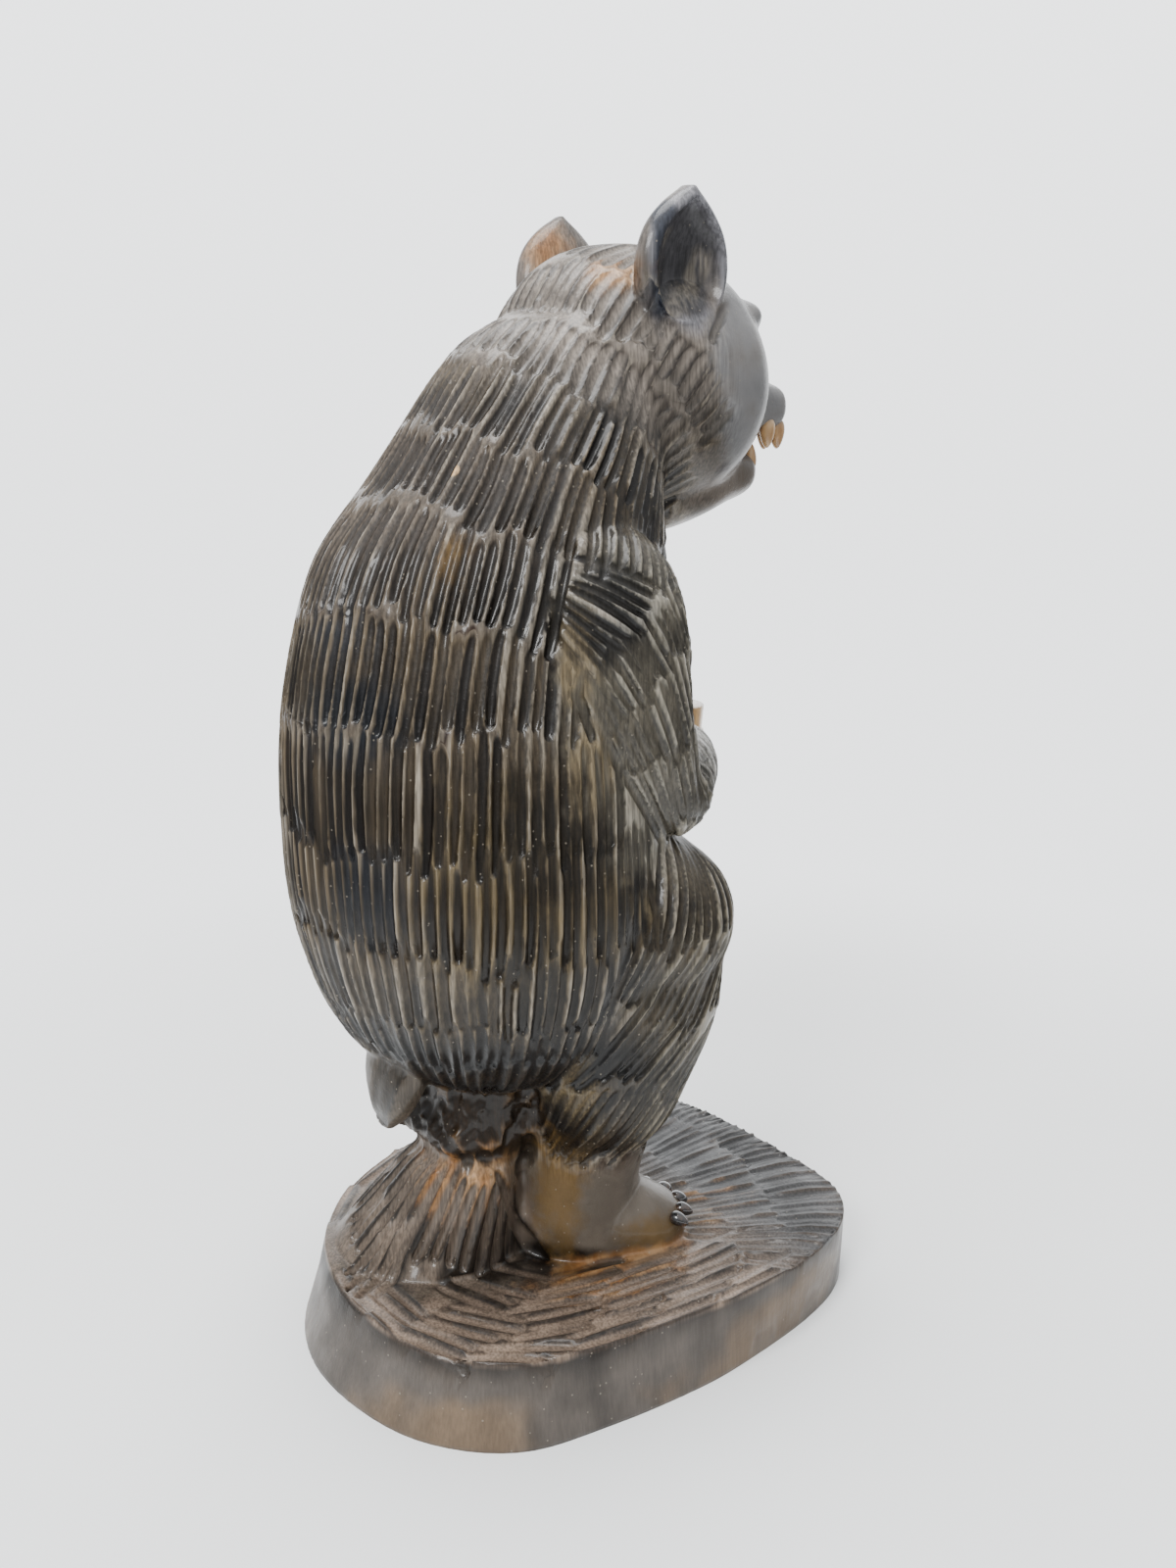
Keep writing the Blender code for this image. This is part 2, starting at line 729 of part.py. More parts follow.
def plinth_strokes(surface, dice):
    """Courses of strokes that follow the plinth's rim, on its top only."""
    outline = plinth_outline()
    course_step = 2 * COURSE_PITCH * PLINTH_CUT_WIDTH / PLINTH_WIDTH
    spacing = PLINTH_CUT_LENGTH * COURSE_OVERLAP
    made = []
    share = 1 - PLINTH_CUT_WIDTH / PLINTH_WIDTH
    while share > COURSE_END:
        ring = [point * share for point in outline]
        walked = dice.random() * spacing
        for start, end in zip(ring, ring[1:] + ring[:1]):
            walked += (end - start).length
            if walked < spacing:
                continue
            walked -= spacing
            inside = end + Vector((0, TOP_SHIFT_Y, PLINTH_THICK / 2))
            point, normal, name = surface.outward(inside, Z_AXIS)
            if name != "plinth":
                continue
            way = (end - start).normalized() + start.normalized() * COURSE_LEAN
            made.append(make_stroke(point, normal, way, PLINTH_CUT_LENGTH, PLINTH_CUT_WIDTH,
                                    PLINTH_CUT_DEPTH))
        share -= course_step
    return [item for item in made if item]


def rough_strokes(surface, dice):
    """Short broad chisel cuts at odd angles on the lump under the rump."""
    axis_x, axis_y = LUMP[0][:2]
    low, high = LUMP[-1][2], LUMP[1][2]
    made = []
    for _ in range(LUMP_CUTS):
        angle = dice.uniform(0, 2 * math.pi)
        out = Vector((math.cos(angle), math.sin(angle), 0))
        point, normal, name = surface.outward(place(axis_x, axis_y, dice.uniform(low, high)), out)
        if name != "lump":
            continue
        way = Z_AXIS + out.cross(Z_AXIS) * dice.uniform(-LUMP_CUT_LEAN, LUMP_CUT_LEAN)
        depth = LUMP_CUT_DEPTH * dice.uniform(0.5, 1)
        made.append(make_stroke(point, normal, way, LUMP_CUT_LENGTH, LUMP_CUT_WIDTH, depth))
    return [item for item in made if item]


def all_strokes(surface):
    """Every gouge stroke of the fur, the mound, the plinth's top and the lump."""
    dice = random.Random(SEED)
    made = rows_round(surface, SPINE, FUR_EDGES, ("torso", "head"), FUR_WIDTH, FUR_DEPTH, dice,
                      droop=NAPE_DROOP, keep=behind_face)
    for mirrored in BOTH:
        side = "left" if mirrored else "right"
        leg = flipped(LEG_LINE) if mirrored else LEG_LINE
        arm = flipped(ARM_LINE) if mirrored else ARM_LINE
        forearm = flipped(FOREARM_LINE) if mirrored else FOREARM_LINE
        turn = -LEG_TURN if mirrored else LEG_TURN
        made += rows_round(surface, leg, LEG_EDGES, (side + " leg",), LIMB_WIDTH, FUR_DEPTH, dice,
                           turn=turn, keep=above_ankle)
        made += rows_round(surface, arm, ARM_EDGES, (side + " arm",), LIMB_WIDTH, FUR_DEPTH, dice)
        made += rows_round(surface, forearm, FOREARM_EDGES, (side + " forearm",), LIMB_WIDTH, FUR_DEPTH,
                           dice)
    made += rows_round(surface, HILL_LINE, HILL_EDGES, ("mound",), FUR_WIDTH, MOUND_DEPTH, dice)
    made += plinth_strokes(surface, dice)
    made += rough_strokes(surface, dice)
    return made


def vertex_arrays(mesh):
    """The places and normals of a mesh's points."""
    count = len(mesh.vertices)
    places = np.empty(count * 3)
    normals = np.empty(count * 3)
    mesh.vertices.foreach_get("co", places)
    mesh.vertices.foreach_get("normal", normals)
    return places.reshape(-1, 3), normals.reshape(-1, 3)


def groove(stroke, offset, normals):
    """How deep a stroke cuts at each place: rounded across, rounded at the ends, deepest in the middle."""
    across = stroke.normal.cross(stroke.along)
    run = np.abs(offset @ np.array(stroke.along))
    wide = (offset @ np.array(across)) / stroke.half_width
    lift = np.abs(offset @ np.array(stroke.normal))
    end = np.maximum(0, run - (stroke.half_length - stroke.half_width)) / stroke.half_width
    inside = np.clip(1 - wide ** 2 - end ** 2, 0, 1)
    facing = normals @ np.array(stroke.normal)
    far_off = lift > 4 * stroke.depth + stroke.half_length / 10
    inside[(facing < STROKE_FACING) | far_off] = 0
    return stroke.depth * np.sqrt(inside) * (1 - STROKE_END_RISE * (run / stroke.half_length) ** 2)


def carve(thing, strokes):
    """Sink a rounded groove into the skin along every stroke."""
    mesh = thing.data
    places, normals = vertex_arrays(mesh)
    tree = search_tree(places)
    sunk = np.zeros(len(places))
    for stroke in strokes:
        reach = stroke.half_length + stroke.half_width
        near = np.array([index for _, index, _ in tree.find_range(stroke.point, reach)], dtype=int)
        if len(near):
            offset = places[near] - np.array(stroke.point)
            sunk[near] = np.maximum(sunk[near], groove(stroke, offset, normals[near]))
    places -= normals * sunk[:, None]
    mesh.vertices.foreach_set("co", places.reshape(-1))
    mesh.update()


def flatten_underside(thing):
    """Set the lowest skin exactly on the ground."""
    for vertex in thing.data.vertices:
        if vertex.co.z < PLINTH_THICK * GROUND_SHARE:
            vertex.co.z = 0


def keep_largest(thing):
    """Drop sealed hollows that lie wholly inside the wood."""
    body = bmesh.new()
    body.from_mesh(thing.data)
    seen = set()
    groups = []
    for start in body.verts:
        if start in seen:
            continue
        group = {start}
        stack = [start]
        while stack:
            vertex = stack.pop()
            for edge in vertex.link_edges:
                other = edge.other_vert(vertex)
                if other not in group:
                    group.add(other)
                    stack.append(other)
        seen |= group
        groups.append(group)
    groups.sort(key=len)
    spare = [vertex for group in groups[:-1] for vertex in group]
    if spare:
        bmesh.ops.delete(body, geom=spare, context="VERTS")
    body.to_mesh(thing.data)
    body.free()


def thin_out(thing):
    """Fewer, larger facets, with the ridges kept."""
    faces = len(thing.data.polygons) * 2
    fewer = thing.modifiers.new("fewer", "DECIMATE")
    fewer.ratio = TRIANGLES / faces
    fewer.use_collapse_triangulate = True
    settle(thing)


def scorched_wood(name):
    """Dark varnished wood."""
    material = bpy.data.materials.new(name)
    material.use_nodes = True
    shader = material.node_tree.nodes["Principled BSDF"]
    shader.inputs["Base Color"].default_value = WOOD_COLOUR
    shader.inputs["Roughness"].default_value = WOOD_ROUGHNESS
    material.diffuse_color = WOOD_COLOUR
    return material


def blended_body(tree, names, group):
    """The bear's soft forms as one skin, with its eye sockets and its open mouth."""
    bear = fuse("bear form", body_forms(), group, FORM_VOXEL, BLEND_ROUNDS)
    carve(bear, eye_sockets(Surface(bear, tree, names)))
    cut(bear, mouth_wedge(group))
    body = bmesh.new()
    body.from_mesh(bear.data)
    bpy.data.objects.remove(bear, do_unlink=True)
    return body


def build():
    """The carved bear as one solid."""
    clear_scene()
    group = collection("carved wooden bear")
    cutters = collection("cutters")
    tail = ("tail", loft(TAIL, X_AXIS))
    base = ("plinth", plinth())
    tree, names = owners(body_forms() + [tail, base])
    crisp = [("bear", blended_body(tree, names, cutters)), tail, base, ("tub", tub())]
    crisp.append(("nose", ball(NOSE_CENTRE, NOSE_HALF)))
    crisp += [("tooth", tooth) for tooth in teeth()]
    for mirrored in BOTH:
        crisp.append(("ear", ear(mirrored, cutters)))
        crisp.append(("eye", eye(mirrored)))
        crisp += [("claw", claw) for claw in foot_claws(mirrored)]
    carving = fuse("carved_bear", crisp, group, CARVE_VOXEL, FINISH_ROUNDS)
    keep_largest(carving)
    carve(carving, all_strokes(Surface(carving, tree, names)))
    flatten_underside(carving)
    thin_out(carving)
    flatten_underside(carving)
    carving.data.materials.clear()
    carving.data.materials.append(scorched_wood("scorched wood"))


build()
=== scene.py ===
# Looks of a carved wooden bear that holds a honey tub and stands on its plinth.
# The wood is gouged all over, scorched, brushed back on the ridges and varnished.
# Metres, +Z up. The bear faces -Y and its own right hand is at -X.

import math
import random
from collections import namedtuple

import bmesh
import bpy
import numpy as np
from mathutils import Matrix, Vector
from mathutils.bvhtree import BVHTree
from mathutils.kdtree import KDTree


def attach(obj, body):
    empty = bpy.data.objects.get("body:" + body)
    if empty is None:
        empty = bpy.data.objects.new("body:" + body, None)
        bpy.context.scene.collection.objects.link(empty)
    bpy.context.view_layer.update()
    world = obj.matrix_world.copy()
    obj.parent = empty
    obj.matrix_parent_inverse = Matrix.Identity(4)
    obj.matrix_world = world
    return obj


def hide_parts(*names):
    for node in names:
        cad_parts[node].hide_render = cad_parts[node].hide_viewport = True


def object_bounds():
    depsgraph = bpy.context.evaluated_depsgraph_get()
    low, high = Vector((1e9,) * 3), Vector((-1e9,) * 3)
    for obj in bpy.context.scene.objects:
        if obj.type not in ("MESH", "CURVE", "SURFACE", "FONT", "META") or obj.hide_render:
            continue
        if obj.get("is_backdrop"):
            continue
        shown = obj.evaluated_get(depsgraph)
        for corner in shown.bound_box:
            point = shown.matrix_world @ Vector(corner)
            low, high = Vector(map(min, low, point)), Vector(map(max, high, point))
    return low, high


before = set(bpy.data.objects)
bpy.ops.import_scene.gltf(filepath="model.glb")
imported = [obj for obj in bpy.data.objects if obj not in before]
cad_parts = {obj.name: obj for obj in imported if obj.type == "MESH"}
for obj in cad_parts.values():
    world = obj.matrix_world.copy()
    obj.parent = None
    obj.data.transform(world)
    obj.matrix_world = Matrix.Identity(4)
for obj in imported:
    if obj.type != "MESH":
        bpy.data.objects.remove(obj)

CAD_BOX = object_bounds()

# Plinth
PLINTH_LENGTH = 0.146
PLINTH_WIDTH = 0.130
PLINTH_THICK = 0.022
PLINTH_SPLAY = 0.0052
PLINTH_CROWN = 0.0010
TOP_SHIFT_Y = -0.0015

# Figure, drawn on a grid of 276 units between the plinth's top and the ear tips
FIGURE_HEIGHT = 0.276
GRID_UNITS = 276
UNIT = FIGURE_HEIGHT / GRID_UNITS

# Honey tub
TUB_TOP_RADIUS = 0.0137
TUB_BOTTOM_RADIUS = 0.0112
TUB_HEIGHT = 0.031
TUB_BEVEL = 0.0003
HOOP_LIFT = 0.0006

# Its hoops: how far up each one lies, then a hoop's section as shares of the tub's height and its lift
HOOP_LEVELS = (0.16, 0.72)
HOOP_SECTION = ((-0.05, 0.0), (-0.045, HOOP_LIFT), (0.045, HOOP_LIFT), (0.05, 0.0))

# Its ends: their share of the radius, then the shares of its half height where their edges begin
TUB_END_SHARE = 0.94
TUB_FOOT_SHARE = 0.96
TUB_RIM_SHARE = 0.97

# Ears
EAR_HEIGHT = 0.034
EAR_WIDTH = 0.029
EAR_THICK = 0.013
EAR_WALL = 0.0030
EAR_EDGE_SHARE = 0.35
CUP_THICK_SHARE = 0.62
CUP_OUT_SHARE = 0.42

# Teeth and claws
TOOTH_LENGTH = 0.0080
TOOTH_WIDTH = 0.0052
CLAW_LENGTH = 0.0054
CLAW_WIDTH = 0.0046

# Gouges: the width and depth of one stroke
FUR_GOUGE = 0.0030
FUR_DEPTH = 0.0015
HEAD_GOUGE = 0.0036
HEAD_DEPTH = 0.0012
ARM_GOUGE = 0.0026
ARM_DEPTH = 0.0013
SHOULDER_GOUGE = 0.0026
SHOULDER_DEPTH = 0.0014
LEG_GOUGE = 0.0028
LEG_DEPTH = 0.0012
PAW_GOUGE = 0.0023
PAW_DEPTH = 0.0009
TAIL_GOUGE = 0.0062
TAIL_DEPTH = 0.0010
MOUND_GOUGE = 0.0034
MOUND_DEPTH = 0.0019
PLINTH_GOUGE = 0.0038
PLINTH_DEPTH = 0.0012
PLINTH_STROKE = 0.023
ROUGH_GOUGE = 0.0052
ROUGH_DEPTH = 0.0022

# Strokes lie this share of their width apart, narrow toward their ends, and reach past their row
STROKE_PITCH = 0.97
MOUND_PITCH = 1.05
STROKE_TAPER = 0.3
STROKE_REACH = (1.18, 1.36)
HEAD_REACH = (0.86, 1.04)

# A stroke runs in over STROKE_START half widths, is shallower there by twice STROKE_FALL, and ends in a
# wall of STROKE_FINISH half widths. A lower STROKE_SECTION makes its section fuller.
STROKE_START = 2.2
STROKE_FINISH = 0.9
STROKE_FALL = 0.2
STROKE_SECTION = 0.8

# A stroke cuts only skin that faces it this much, and that lies no further from its plane than a
# number of its depths and a share of its half length
LEAST_FACING = 0.2
LIFT_DEPTHS = 3
LIFT_SHARE = 0.12

# How much strokes differ: in pitch, at both ends as shares of their row, in width and in depth, then
# the least and most of a row that a stroke spans, and the span below which it keeps the path's way
PITCH_SPREAD = (0.84, 1.16)
END_SPREAD = 0.09
WIDTH_SPREAD = (0.86, 1.18)
DEPTH_SPREAD = (0.65, 1.2)
SPAN_LIMITS = (0.8, 1.6)
LEAST_SPAN = 0.5

# Waves round a row, each with its swing, its number round the row and its shift from row to row: two
# move the row's edges, and one bends its strokes
BROAD_WAVE = (0.7, 3, 1.7)
FINE_WAVE = (0.5, 9, 2.9)
BEND_WAVE = (0.35, 7, 2.3)
BEND_SPREAD = 0.25
ROW_RAGGED = 2.0
WIDE_RAGGED = 3.0

# A groove this deep takes the full dark of the grooves, which is char left in the cut and painted shade in
# the hollow
GROOVE_FULL = 0.0011

# The ridges beside a stroke end at these shares of its half width and half length, and fade this fast
RIDGE_EDGE = 1.5
RIDGE_FADE = 4
RIDGE_END = 0.95
RIDGE_END_FADE = 8

# The tone of skin that no stroke cuts
PLAIN_TONE = 0.5

# Fineness of the work: sides of a section, steps between stations and along lines, voxels in metres,
# rounds of smoothing, the most triangles, and how many ways a row is looked at round its line
RING_SIDES = 48
LOFT_STEPS = 6
LINE_STEPS = 12
FORM_VOXEL = 0.0010
FINE_VOXEL = 0.00042
SMOOTHING = 0.5
FORM_ROUNDS = 18
ARM_ROUNDS = 6
WHOLE_ROUNDS = 4
POLISH_ROUNDS = 1
TRIANGLES = 190000
RING_LOOKS = 480
SEED = 11

# No section's half size is below this many grid units, and no direction is shorter than TINY
LEAST_HALF = 1
TINY = 1e-6

# Skin below this share of the plinth's thickness is set on the ground
GROUND_SHARE = 0.04

X_AXIS = Vector((1, 0, 0))
Y_AXIS = Vector((0, 1, 0))
Z_AXIS = Vector((0, 0, 1))
SIDES = ((False, "right"), (True, "left"))

# Stations: centre x, y, z, half width, half depth, all in grid units above the plinth's top
TORSO = (
    (0, 27, 49, 10, 9),
    (0, 27, 52, 23, 19),
    (0, 27, 60, 37, 31),
    (0, 27, 71, 46, 39),
    (0, 27, 87, 52, 45),
    (0, 27, 104, 54, 48.5),
    (0, 27, 120, 53, 49.5),
    (0, 26, 143, 50, 50.5),
    (0, 23, 166, 46, 50),
    (0, 20, 188, 42.5, 45.5),
    (0, 13.5, 206, 38.5, 37.5),
    (0, 6.5, 220, 33.5, 34.5),
    (0, -1, 232, 29, 33.5),
    (0, -9, 243, 25, 30),
    (0, -15, 251, 14, 15),
)
HEAD = (
    (0, 14, 226, 8, 9),
    (0, 9, 228, 22, 24),
    (0, -1, 230, 29, 32),
    (0, -15, 231, 32, 35),
    (0, -29, 232, 33, 34.5),
    (0, -41, 232, 32, 31.5),
    (0, -50, 231, 27, 24),
    (0, -56, 230, 18, 15),
    (0, -59, 229, 7, 7),
)
MUZZLE = (
    (0, -44, 228, 15, 9),
    (0, -54, 228, 16, 8.5),
    (0, -64, 227.5, 15.5, 7.5),
    (0, -70, 227.5, 14.5, 6.5),
    (0, -72.5, 227.5, 11, 4),
)
NOSE_BRIDGE = (
    (0, -44, 249, 10, 9),
    (0, -54, 244, 10, 9),
    (0, -62, 237, 10, 8),
    (0, -68, 232, 9, 5),
)
JAW = (
    (0, -20, 205, 17, 13),
    (0, -31, 205.5, 17.5, 12.5),
    (0, -43, 206.5, 16.5, 10),
    (0, -52, 208, 14.5, 8),
    (0, -61, 209.5, 12, 6.5),
    (0, -65, 210.5, 7, 3.5),
)
UPPER_ARM = (
    (-24, 16, 190, 10, 12),
    (-32, 15.5, 184, 15, 20),
    (-37, 13.5, 172, 15.5, 22.5),
    (-40, 11.5, 158, 14.5, 20.5),
    (-42, 7.5, 145, 12.5, 16.5),
    (-42, 2, 134, 11, 13),
    (-42, -2, 126, 9.5, 9.5),
    (-42, -4, 120, 6, 6),
)
FOREARM = (
    (-43, 1, 127, 7, 7),
    (-41, -5, 128, 9, 10),
    (-34, -14, 131, 9.5, 9.5),
    (-26, -22, 132.5, 9.5, 9.5),
    (-18, -28, 133.5, 9, 9),
    (-12, -31, 134, 6, 7),
)
THIGH = (
    (-24, 30, 90, 16, 20),
    (-27, 18, 93, 23, 26),
    (-31, 4, 96, 23, 26.5),
    (-35, -6, 93, 20.5, 23.5),
    (-36, -15, 87, 16, 17.5),
    (-37, -21, 82, 8, 9),
)
SHIN = (
    (-35, -5, 90, 17, 21),
    (-34, 0, 76, 17.5, 26),
    (-31, 3, 62, 17.5, 25.5),
    (-27, 4, 47, 17, 21.5),
    (-22, 5, 36, 15, 18),
    (-19, 6, 22, 14, 16.5),
    (-18, 6, 8, 14, 16.5),
    (-18, 5, -6, 13, 15),
)
FOOT = (
    (-8, 20, 2, 7, 8),
    (-11, 16, 3, 12, 13),
    (-15, 8, 4, 15, 16),
    (-20, -2, 4, 15.5, 13.5),
    (-24, -10, 2, 14.5, 11.5),
    (-26, -16, 1, 12, 9),
    (-27, -20, 0, 7, 6),
)
TAIL = (
    (-3, 45, 78, 11, 8),
    (-3, 50, 68, 12, 7.5),
    (-2, 54, 58, 12, 6.5),
    (-1, 55.5, 50, 9, 5),
    (1, 56, 42, 3, 2.5),
)
LUMP = (
    (0, 27, 62, 18, 15),
    (0, 27, 54, 20, 16),
    (1, 28, 44, 21, 17),
    (2, 30, 36, 21.5, 18.5),
    (1, 28, 30, 17, 14),
    (0, 27, 25, 13, 11),
)
MOUND = (
    (-3, 33, 34, 9, 7),
    (-3, 33, 31, 14, 11),
    (-1, 34, 26, 17.5, 14.5),
    (4, 35, 16, 22, 18.5),
    (9, 36, 5, 26, 24),
    (12, 37.5, -4, 29.5, 29.5),
)

# The arm's first stations flow into the body, the rest meet it in a crease
SHOULDER_ROWS = 2

# How square a section is: 2 is an ellipse
ROUND = 2.0
MUZZLE_SQUARE = 3.2
JAW_SQUARE = 2.6
LUMP_SQUARE = 2.8

BROW_CENTRE = (14, -48, 249)
BROW_HALF = (10, 7, 5)
RIGHT_EYE = (-13, -56, 242)
EYE_HALF = (3.2, 3.2, 3.2)
SOCKET_LENGTH = 13
SOCKET_WIDTH = 9
SOCKET_DEPTH = 2.6
SOCKET_SEEN_FROM = -30
SOCKET_RISE = 0.35
NOSE_CENTRE = (0, -72, 231)
NOSE_HALF = (7.5, 4, 4.5)
RIGHT_EAR = (-27, -18.5, 258.5)
LEFT_EAR = (26.5, -21.5, 261)
EAR_TURN = math.radians(2)
EAR_LEAN = math.radians(6)
TUB_CENTRE = (0, -36, 129)

# No stroke cuts the ears: half sizes round each ear, and how far above its centre
EAR_GUARD = (10, 15, 17)
EAR_GUARD_LIFT = 2

# The ear's outline from its root to its tip: share of the height, then share of the half width
EAR_OUTLINE = (
    (0.00, 0.42), (0.10, 0.74), (0.28, 0.97), (0.50, 1.00), (0.70, 0.85), (0.87, 0.50), (1.00, 0.06),
)

# The gap of the mouth: its width, then y and the heights of its lower and upper edge
MOUTH_WIDTH = 35
MOUTH_FRONT = (-80, 213, 221.5)
MOUTH_BACK = (-46, 215, 217)

# Pairs of teeth: x, y, z of the root, then the way they point
TEETH = ((13, -57, 222, -1), (13, -64, 222, -1), (11, -70, 222, -1), (4, -72, 222, -1), (9, -61, 212, 1))

# Claws stand on a bow round the front of each foot
CLAW_COUNT = 5
CLAW_BOW_CENTRE = (-25, -10, 7)
CLAW_BOW_HALF = (12, 10)
CLAW_FIRST = math.radians(-76)
CLAW_STEP = math.radians(29)
CLAW_DIP = 0.25

# The plinth's outline from above: shares of its half width and half length, then how much of the
# splay its wall has there
PLINTH_OUTLINE = (
    (-0.12, 0.97, 1.5), (-0.52, 0.91, 1.1), (-0.80, 0.70, 0.9), (-0.91, 0.40, 0.6),
    (-0.97, 0.06, 0.4), (-1.00, -0.17, 0.0), (-0.98, -0.53, -0.3), (-0.88, -0.80, -0.2),
    (-0.68, -0.97, 0.0), (-0.34, -1.03, 0.0), (0.15, -1.04, 0.0), (0.55, -0.98, 0.0),
    (0.83, -0.81, 0.2), (0.97, -0.52, 0.3), (1.00, -0.16, 0.3), (0.94, 0.21, 0.4),
    (0.77, 0.57, 0.7), (0.50, 0.81, 1.0), (0.21, 0.93, 1.5),
)

# The plinth's levels: share of the thickness, share of the splay, share of the outline
PLINTH_WALL = ((0.0, 1.0, 1.0), (0.5, 0.4, 1.0), (1 - PLINTH_CROWN / PLINTH_THICK, 0.0, 1.0))
PLINTH_TOP = tuple((1.0, 0.0, share) for share in (0.9, 0.75, 0.6, 0.45, 0.3, 0.15))

# Lines that the rows of strokes follow, each from its lower end, and how far along it the rows end
SPINE = (
    (0, 27, 52), (0, 27, 104), (0, 25, 150), (0, 17, 184), (0, 5, 208), (0, -12, 230), (0, -34, 252),
)
FUR_EDGES = (2, 15, 27, 47, 70, 94, 114, 135, 152, 168)
HEAD_EDGES = (167, 184, 201, 218)
LEG_LINE = (
    (-20, 8, 26), (-22, 7, 36), (-26, 5, 50), (-30, 0, 66), (-32, -5, 84), (-33, -9, 100), (-32, -10, 118),
)
LEG_EDGES = (10, 32, 52, 74, 95)
LEG_TURNS = (14, 24, 16, 0)
ARM_LINE = (
    (-43, -6, 108), (-42, -4, 122), (-42, 2, 138), (-41, 8, 152), (-40, 14, 163), (-38, 22, 173),
    (-37, 32, 179),
)
ARM_EDGES = (0, 16, 37, 53)
SHOULDER_EDGES = (53, 66, 84)
PAW_LINE = ((-28, -19, 120), (-27, -21, 144))
PAW_EDGES = (0, 12, 24)
HILL_LINE = ((13, 40, -2), (-2, 33, 32))
HILL_EDGES = (0, 15, 36)
TAIL_LINE = ((1, 56, 43), (-3, 46, 78))
TAIL_EDGES = (0, 36)
NAPE_DROOP = 0.2
FACE_EDGE = -31

# The shoulder's strokes take the arm in front of the crease and below the shoulder's top, and from the
# shoulder's foot upward also the trunk outside this x
CREASE_Y = 30
SHOULDER_X = 34
SHOULDER_FOOT = 172
SHOULDER_TOP = 186

# The leg's strokes stop above a line that rises behind the front of the ankle
ANKLE = 30
ANKLE_FRONT = -5
ANKLE_SLOPE = 0.35

# The plinth's strokes run in courses round its top, from the rim in to COURSE_END of the outline. The
# courses of a bundle start at much the same place, and lean in by the same amount.
BUNDLE = 5
COURSE_END = 0.14
COURSE_GAP = 1.8
COURSE_LEAN = (-0.02, 0.14)
COURSE_STAGGER = 0.15
COURSE_LENGTHS = (0.95, 1.2)
COURSE_WIDTHS = (0.9, 1.15)
COURSE_DEPTHS = (0.7, 1.2)
COURSE_BEND = 0.5

# In front of the fan's edge the strokes fan out instead, in rows round a centre behind the feet
FAN_EDGE = -24
FAN_CENTRE = 30
FAN_ROW = 0.0155
FAN_START = 1.5
FAN_PITCH = 0.9
FAN_SPREAD = math.radians(75)
FAN_STAGGER = 0.2
FAN_WAVE = (0.2, 5, 70)

# Rough cuts on the lump: how many are tried, from which upright line and heights, and how they differ
ROUGH_CUTS = 420
LUMP_AXIS = (1, 28)
LUMP_HEIGHTS = (24, 60)
ROUGH_SLANT = 0.9
ROUGH_LENGTHS = (1.3, 1.9)
ROUGH_DEPTHS = (0.4, 1)

Stroke = namedtuple("Stroke", "point normal along half_length half_width depth bend tone")


def place(x, y, z):
    """A grid position above the plinth's top, in metres."""
    return Vector((x * UNIT, y * UNIT + TOP_SHIFT_Y, PLINTH_THICK + z * UNIT))


def smooth_through(rows, steps):
    """Values on a smooth curve through rows of numbers."""
    rows = np.array(rows, float)
    padded = np.vstack([2 * rows[0] - rows[1], rows, 2 * rows[-1] - rows[-2]])
    found = []
    for index in range(len(rows) - 1):
        before, start, end, after = padded[index:index + 4]
        for step in range(steps):
            t = step / steps
            linear = (end - before) * t
            square = (2 * before - 5 * start + 4 * end - after) * t ** 2
            cube = (3 * start - before - 3 * end + after) * t ** 3
            found.append(start + 0.5 * (linear + square + cube))
    found.append(rows[-1])
    return np.array(found)


def ring_points(centre, side, up, half_side, half_up, squareness=ROUND):
    """Points round an ellipse, or round a squarer section when squareness is above 2."""
    points = []
    for index in range(RING_SIDES):
        angle = 2 * math.pi * index / RING_SIDES
        across = math.copysign(abs(math.cos(angle)) ** (2 / squareness), math.cos(angle))
        along = math.copysign(abs(math.sin(angle)) ** (2 / squareness), math.sin(angle))
        points.append(centre + side * half_side * across + up * half_up * along)
    return points


def skin(rings):
    """A closed mesh over a row of rings with as many points each."""
    body = bmesh.new()
    loops = []
    for ring in rings:
        loops.append([body.verts.new(point) for point in ring])
    for lower, upper in zip(loops, loops[1:]):
        for index in range(len(lower)):
            after = (index + 1) % len(lower)
            body.faces.new((lower[index], lower[after], upper[after], upper[index]))
    body.faces.new(list(reversed(loops[0])))
    body.faces.new(loops[-1])
    bmesh.ops.recalc_face_normals(body, faces=body.faces)
    return body


def loft(stations, side_axis, facing=None, squareness=ROUND, mirrored=False):
    """A limb or body through its stations; facing sets every section's plane."""
    rows = smooth_through(stations, LOFT_STEPS)
    flip = -1 if mirrored else 1
    centres = [place(row[0] * flip, row[1], row[2]) for row in rows]
    last = len(centres) - 1
    rings = []
    for index, row in enumerate(rows):
        forward = facing or (centres[min(index + 1, last)] - centres[max(index - 1, 0)]).normalized()
        side = (side_axis - forward * side_axis.dot(forward)).normalized()
        up = forward.cross(side)
        half_side = max(row[3], LEAST_HALF) * UNIT
        half_up = max(row[4], LEAST_HALF) * UNIT
        rings.append(ring_points(centres[index], side, up, half_side, half_up, squareness))
    return skin(rings)


def ball(centre, half):
    """An ellipsoid from its centre and half sizes in grid units."""
    body = bmesh.new()
    bmesh.ops.create_uvsphere(body, u_segments=RING_SIDES, v_segments=RING_SIDES // 2, radius=UNIT)
    for vertex in body.verts:
        stretched = Vector((vertex.co.x * half[0], vertex.co.y * half[1], vertex.co.z * half[2]))
        vertex.co = place(*centre) + stretched
    return body


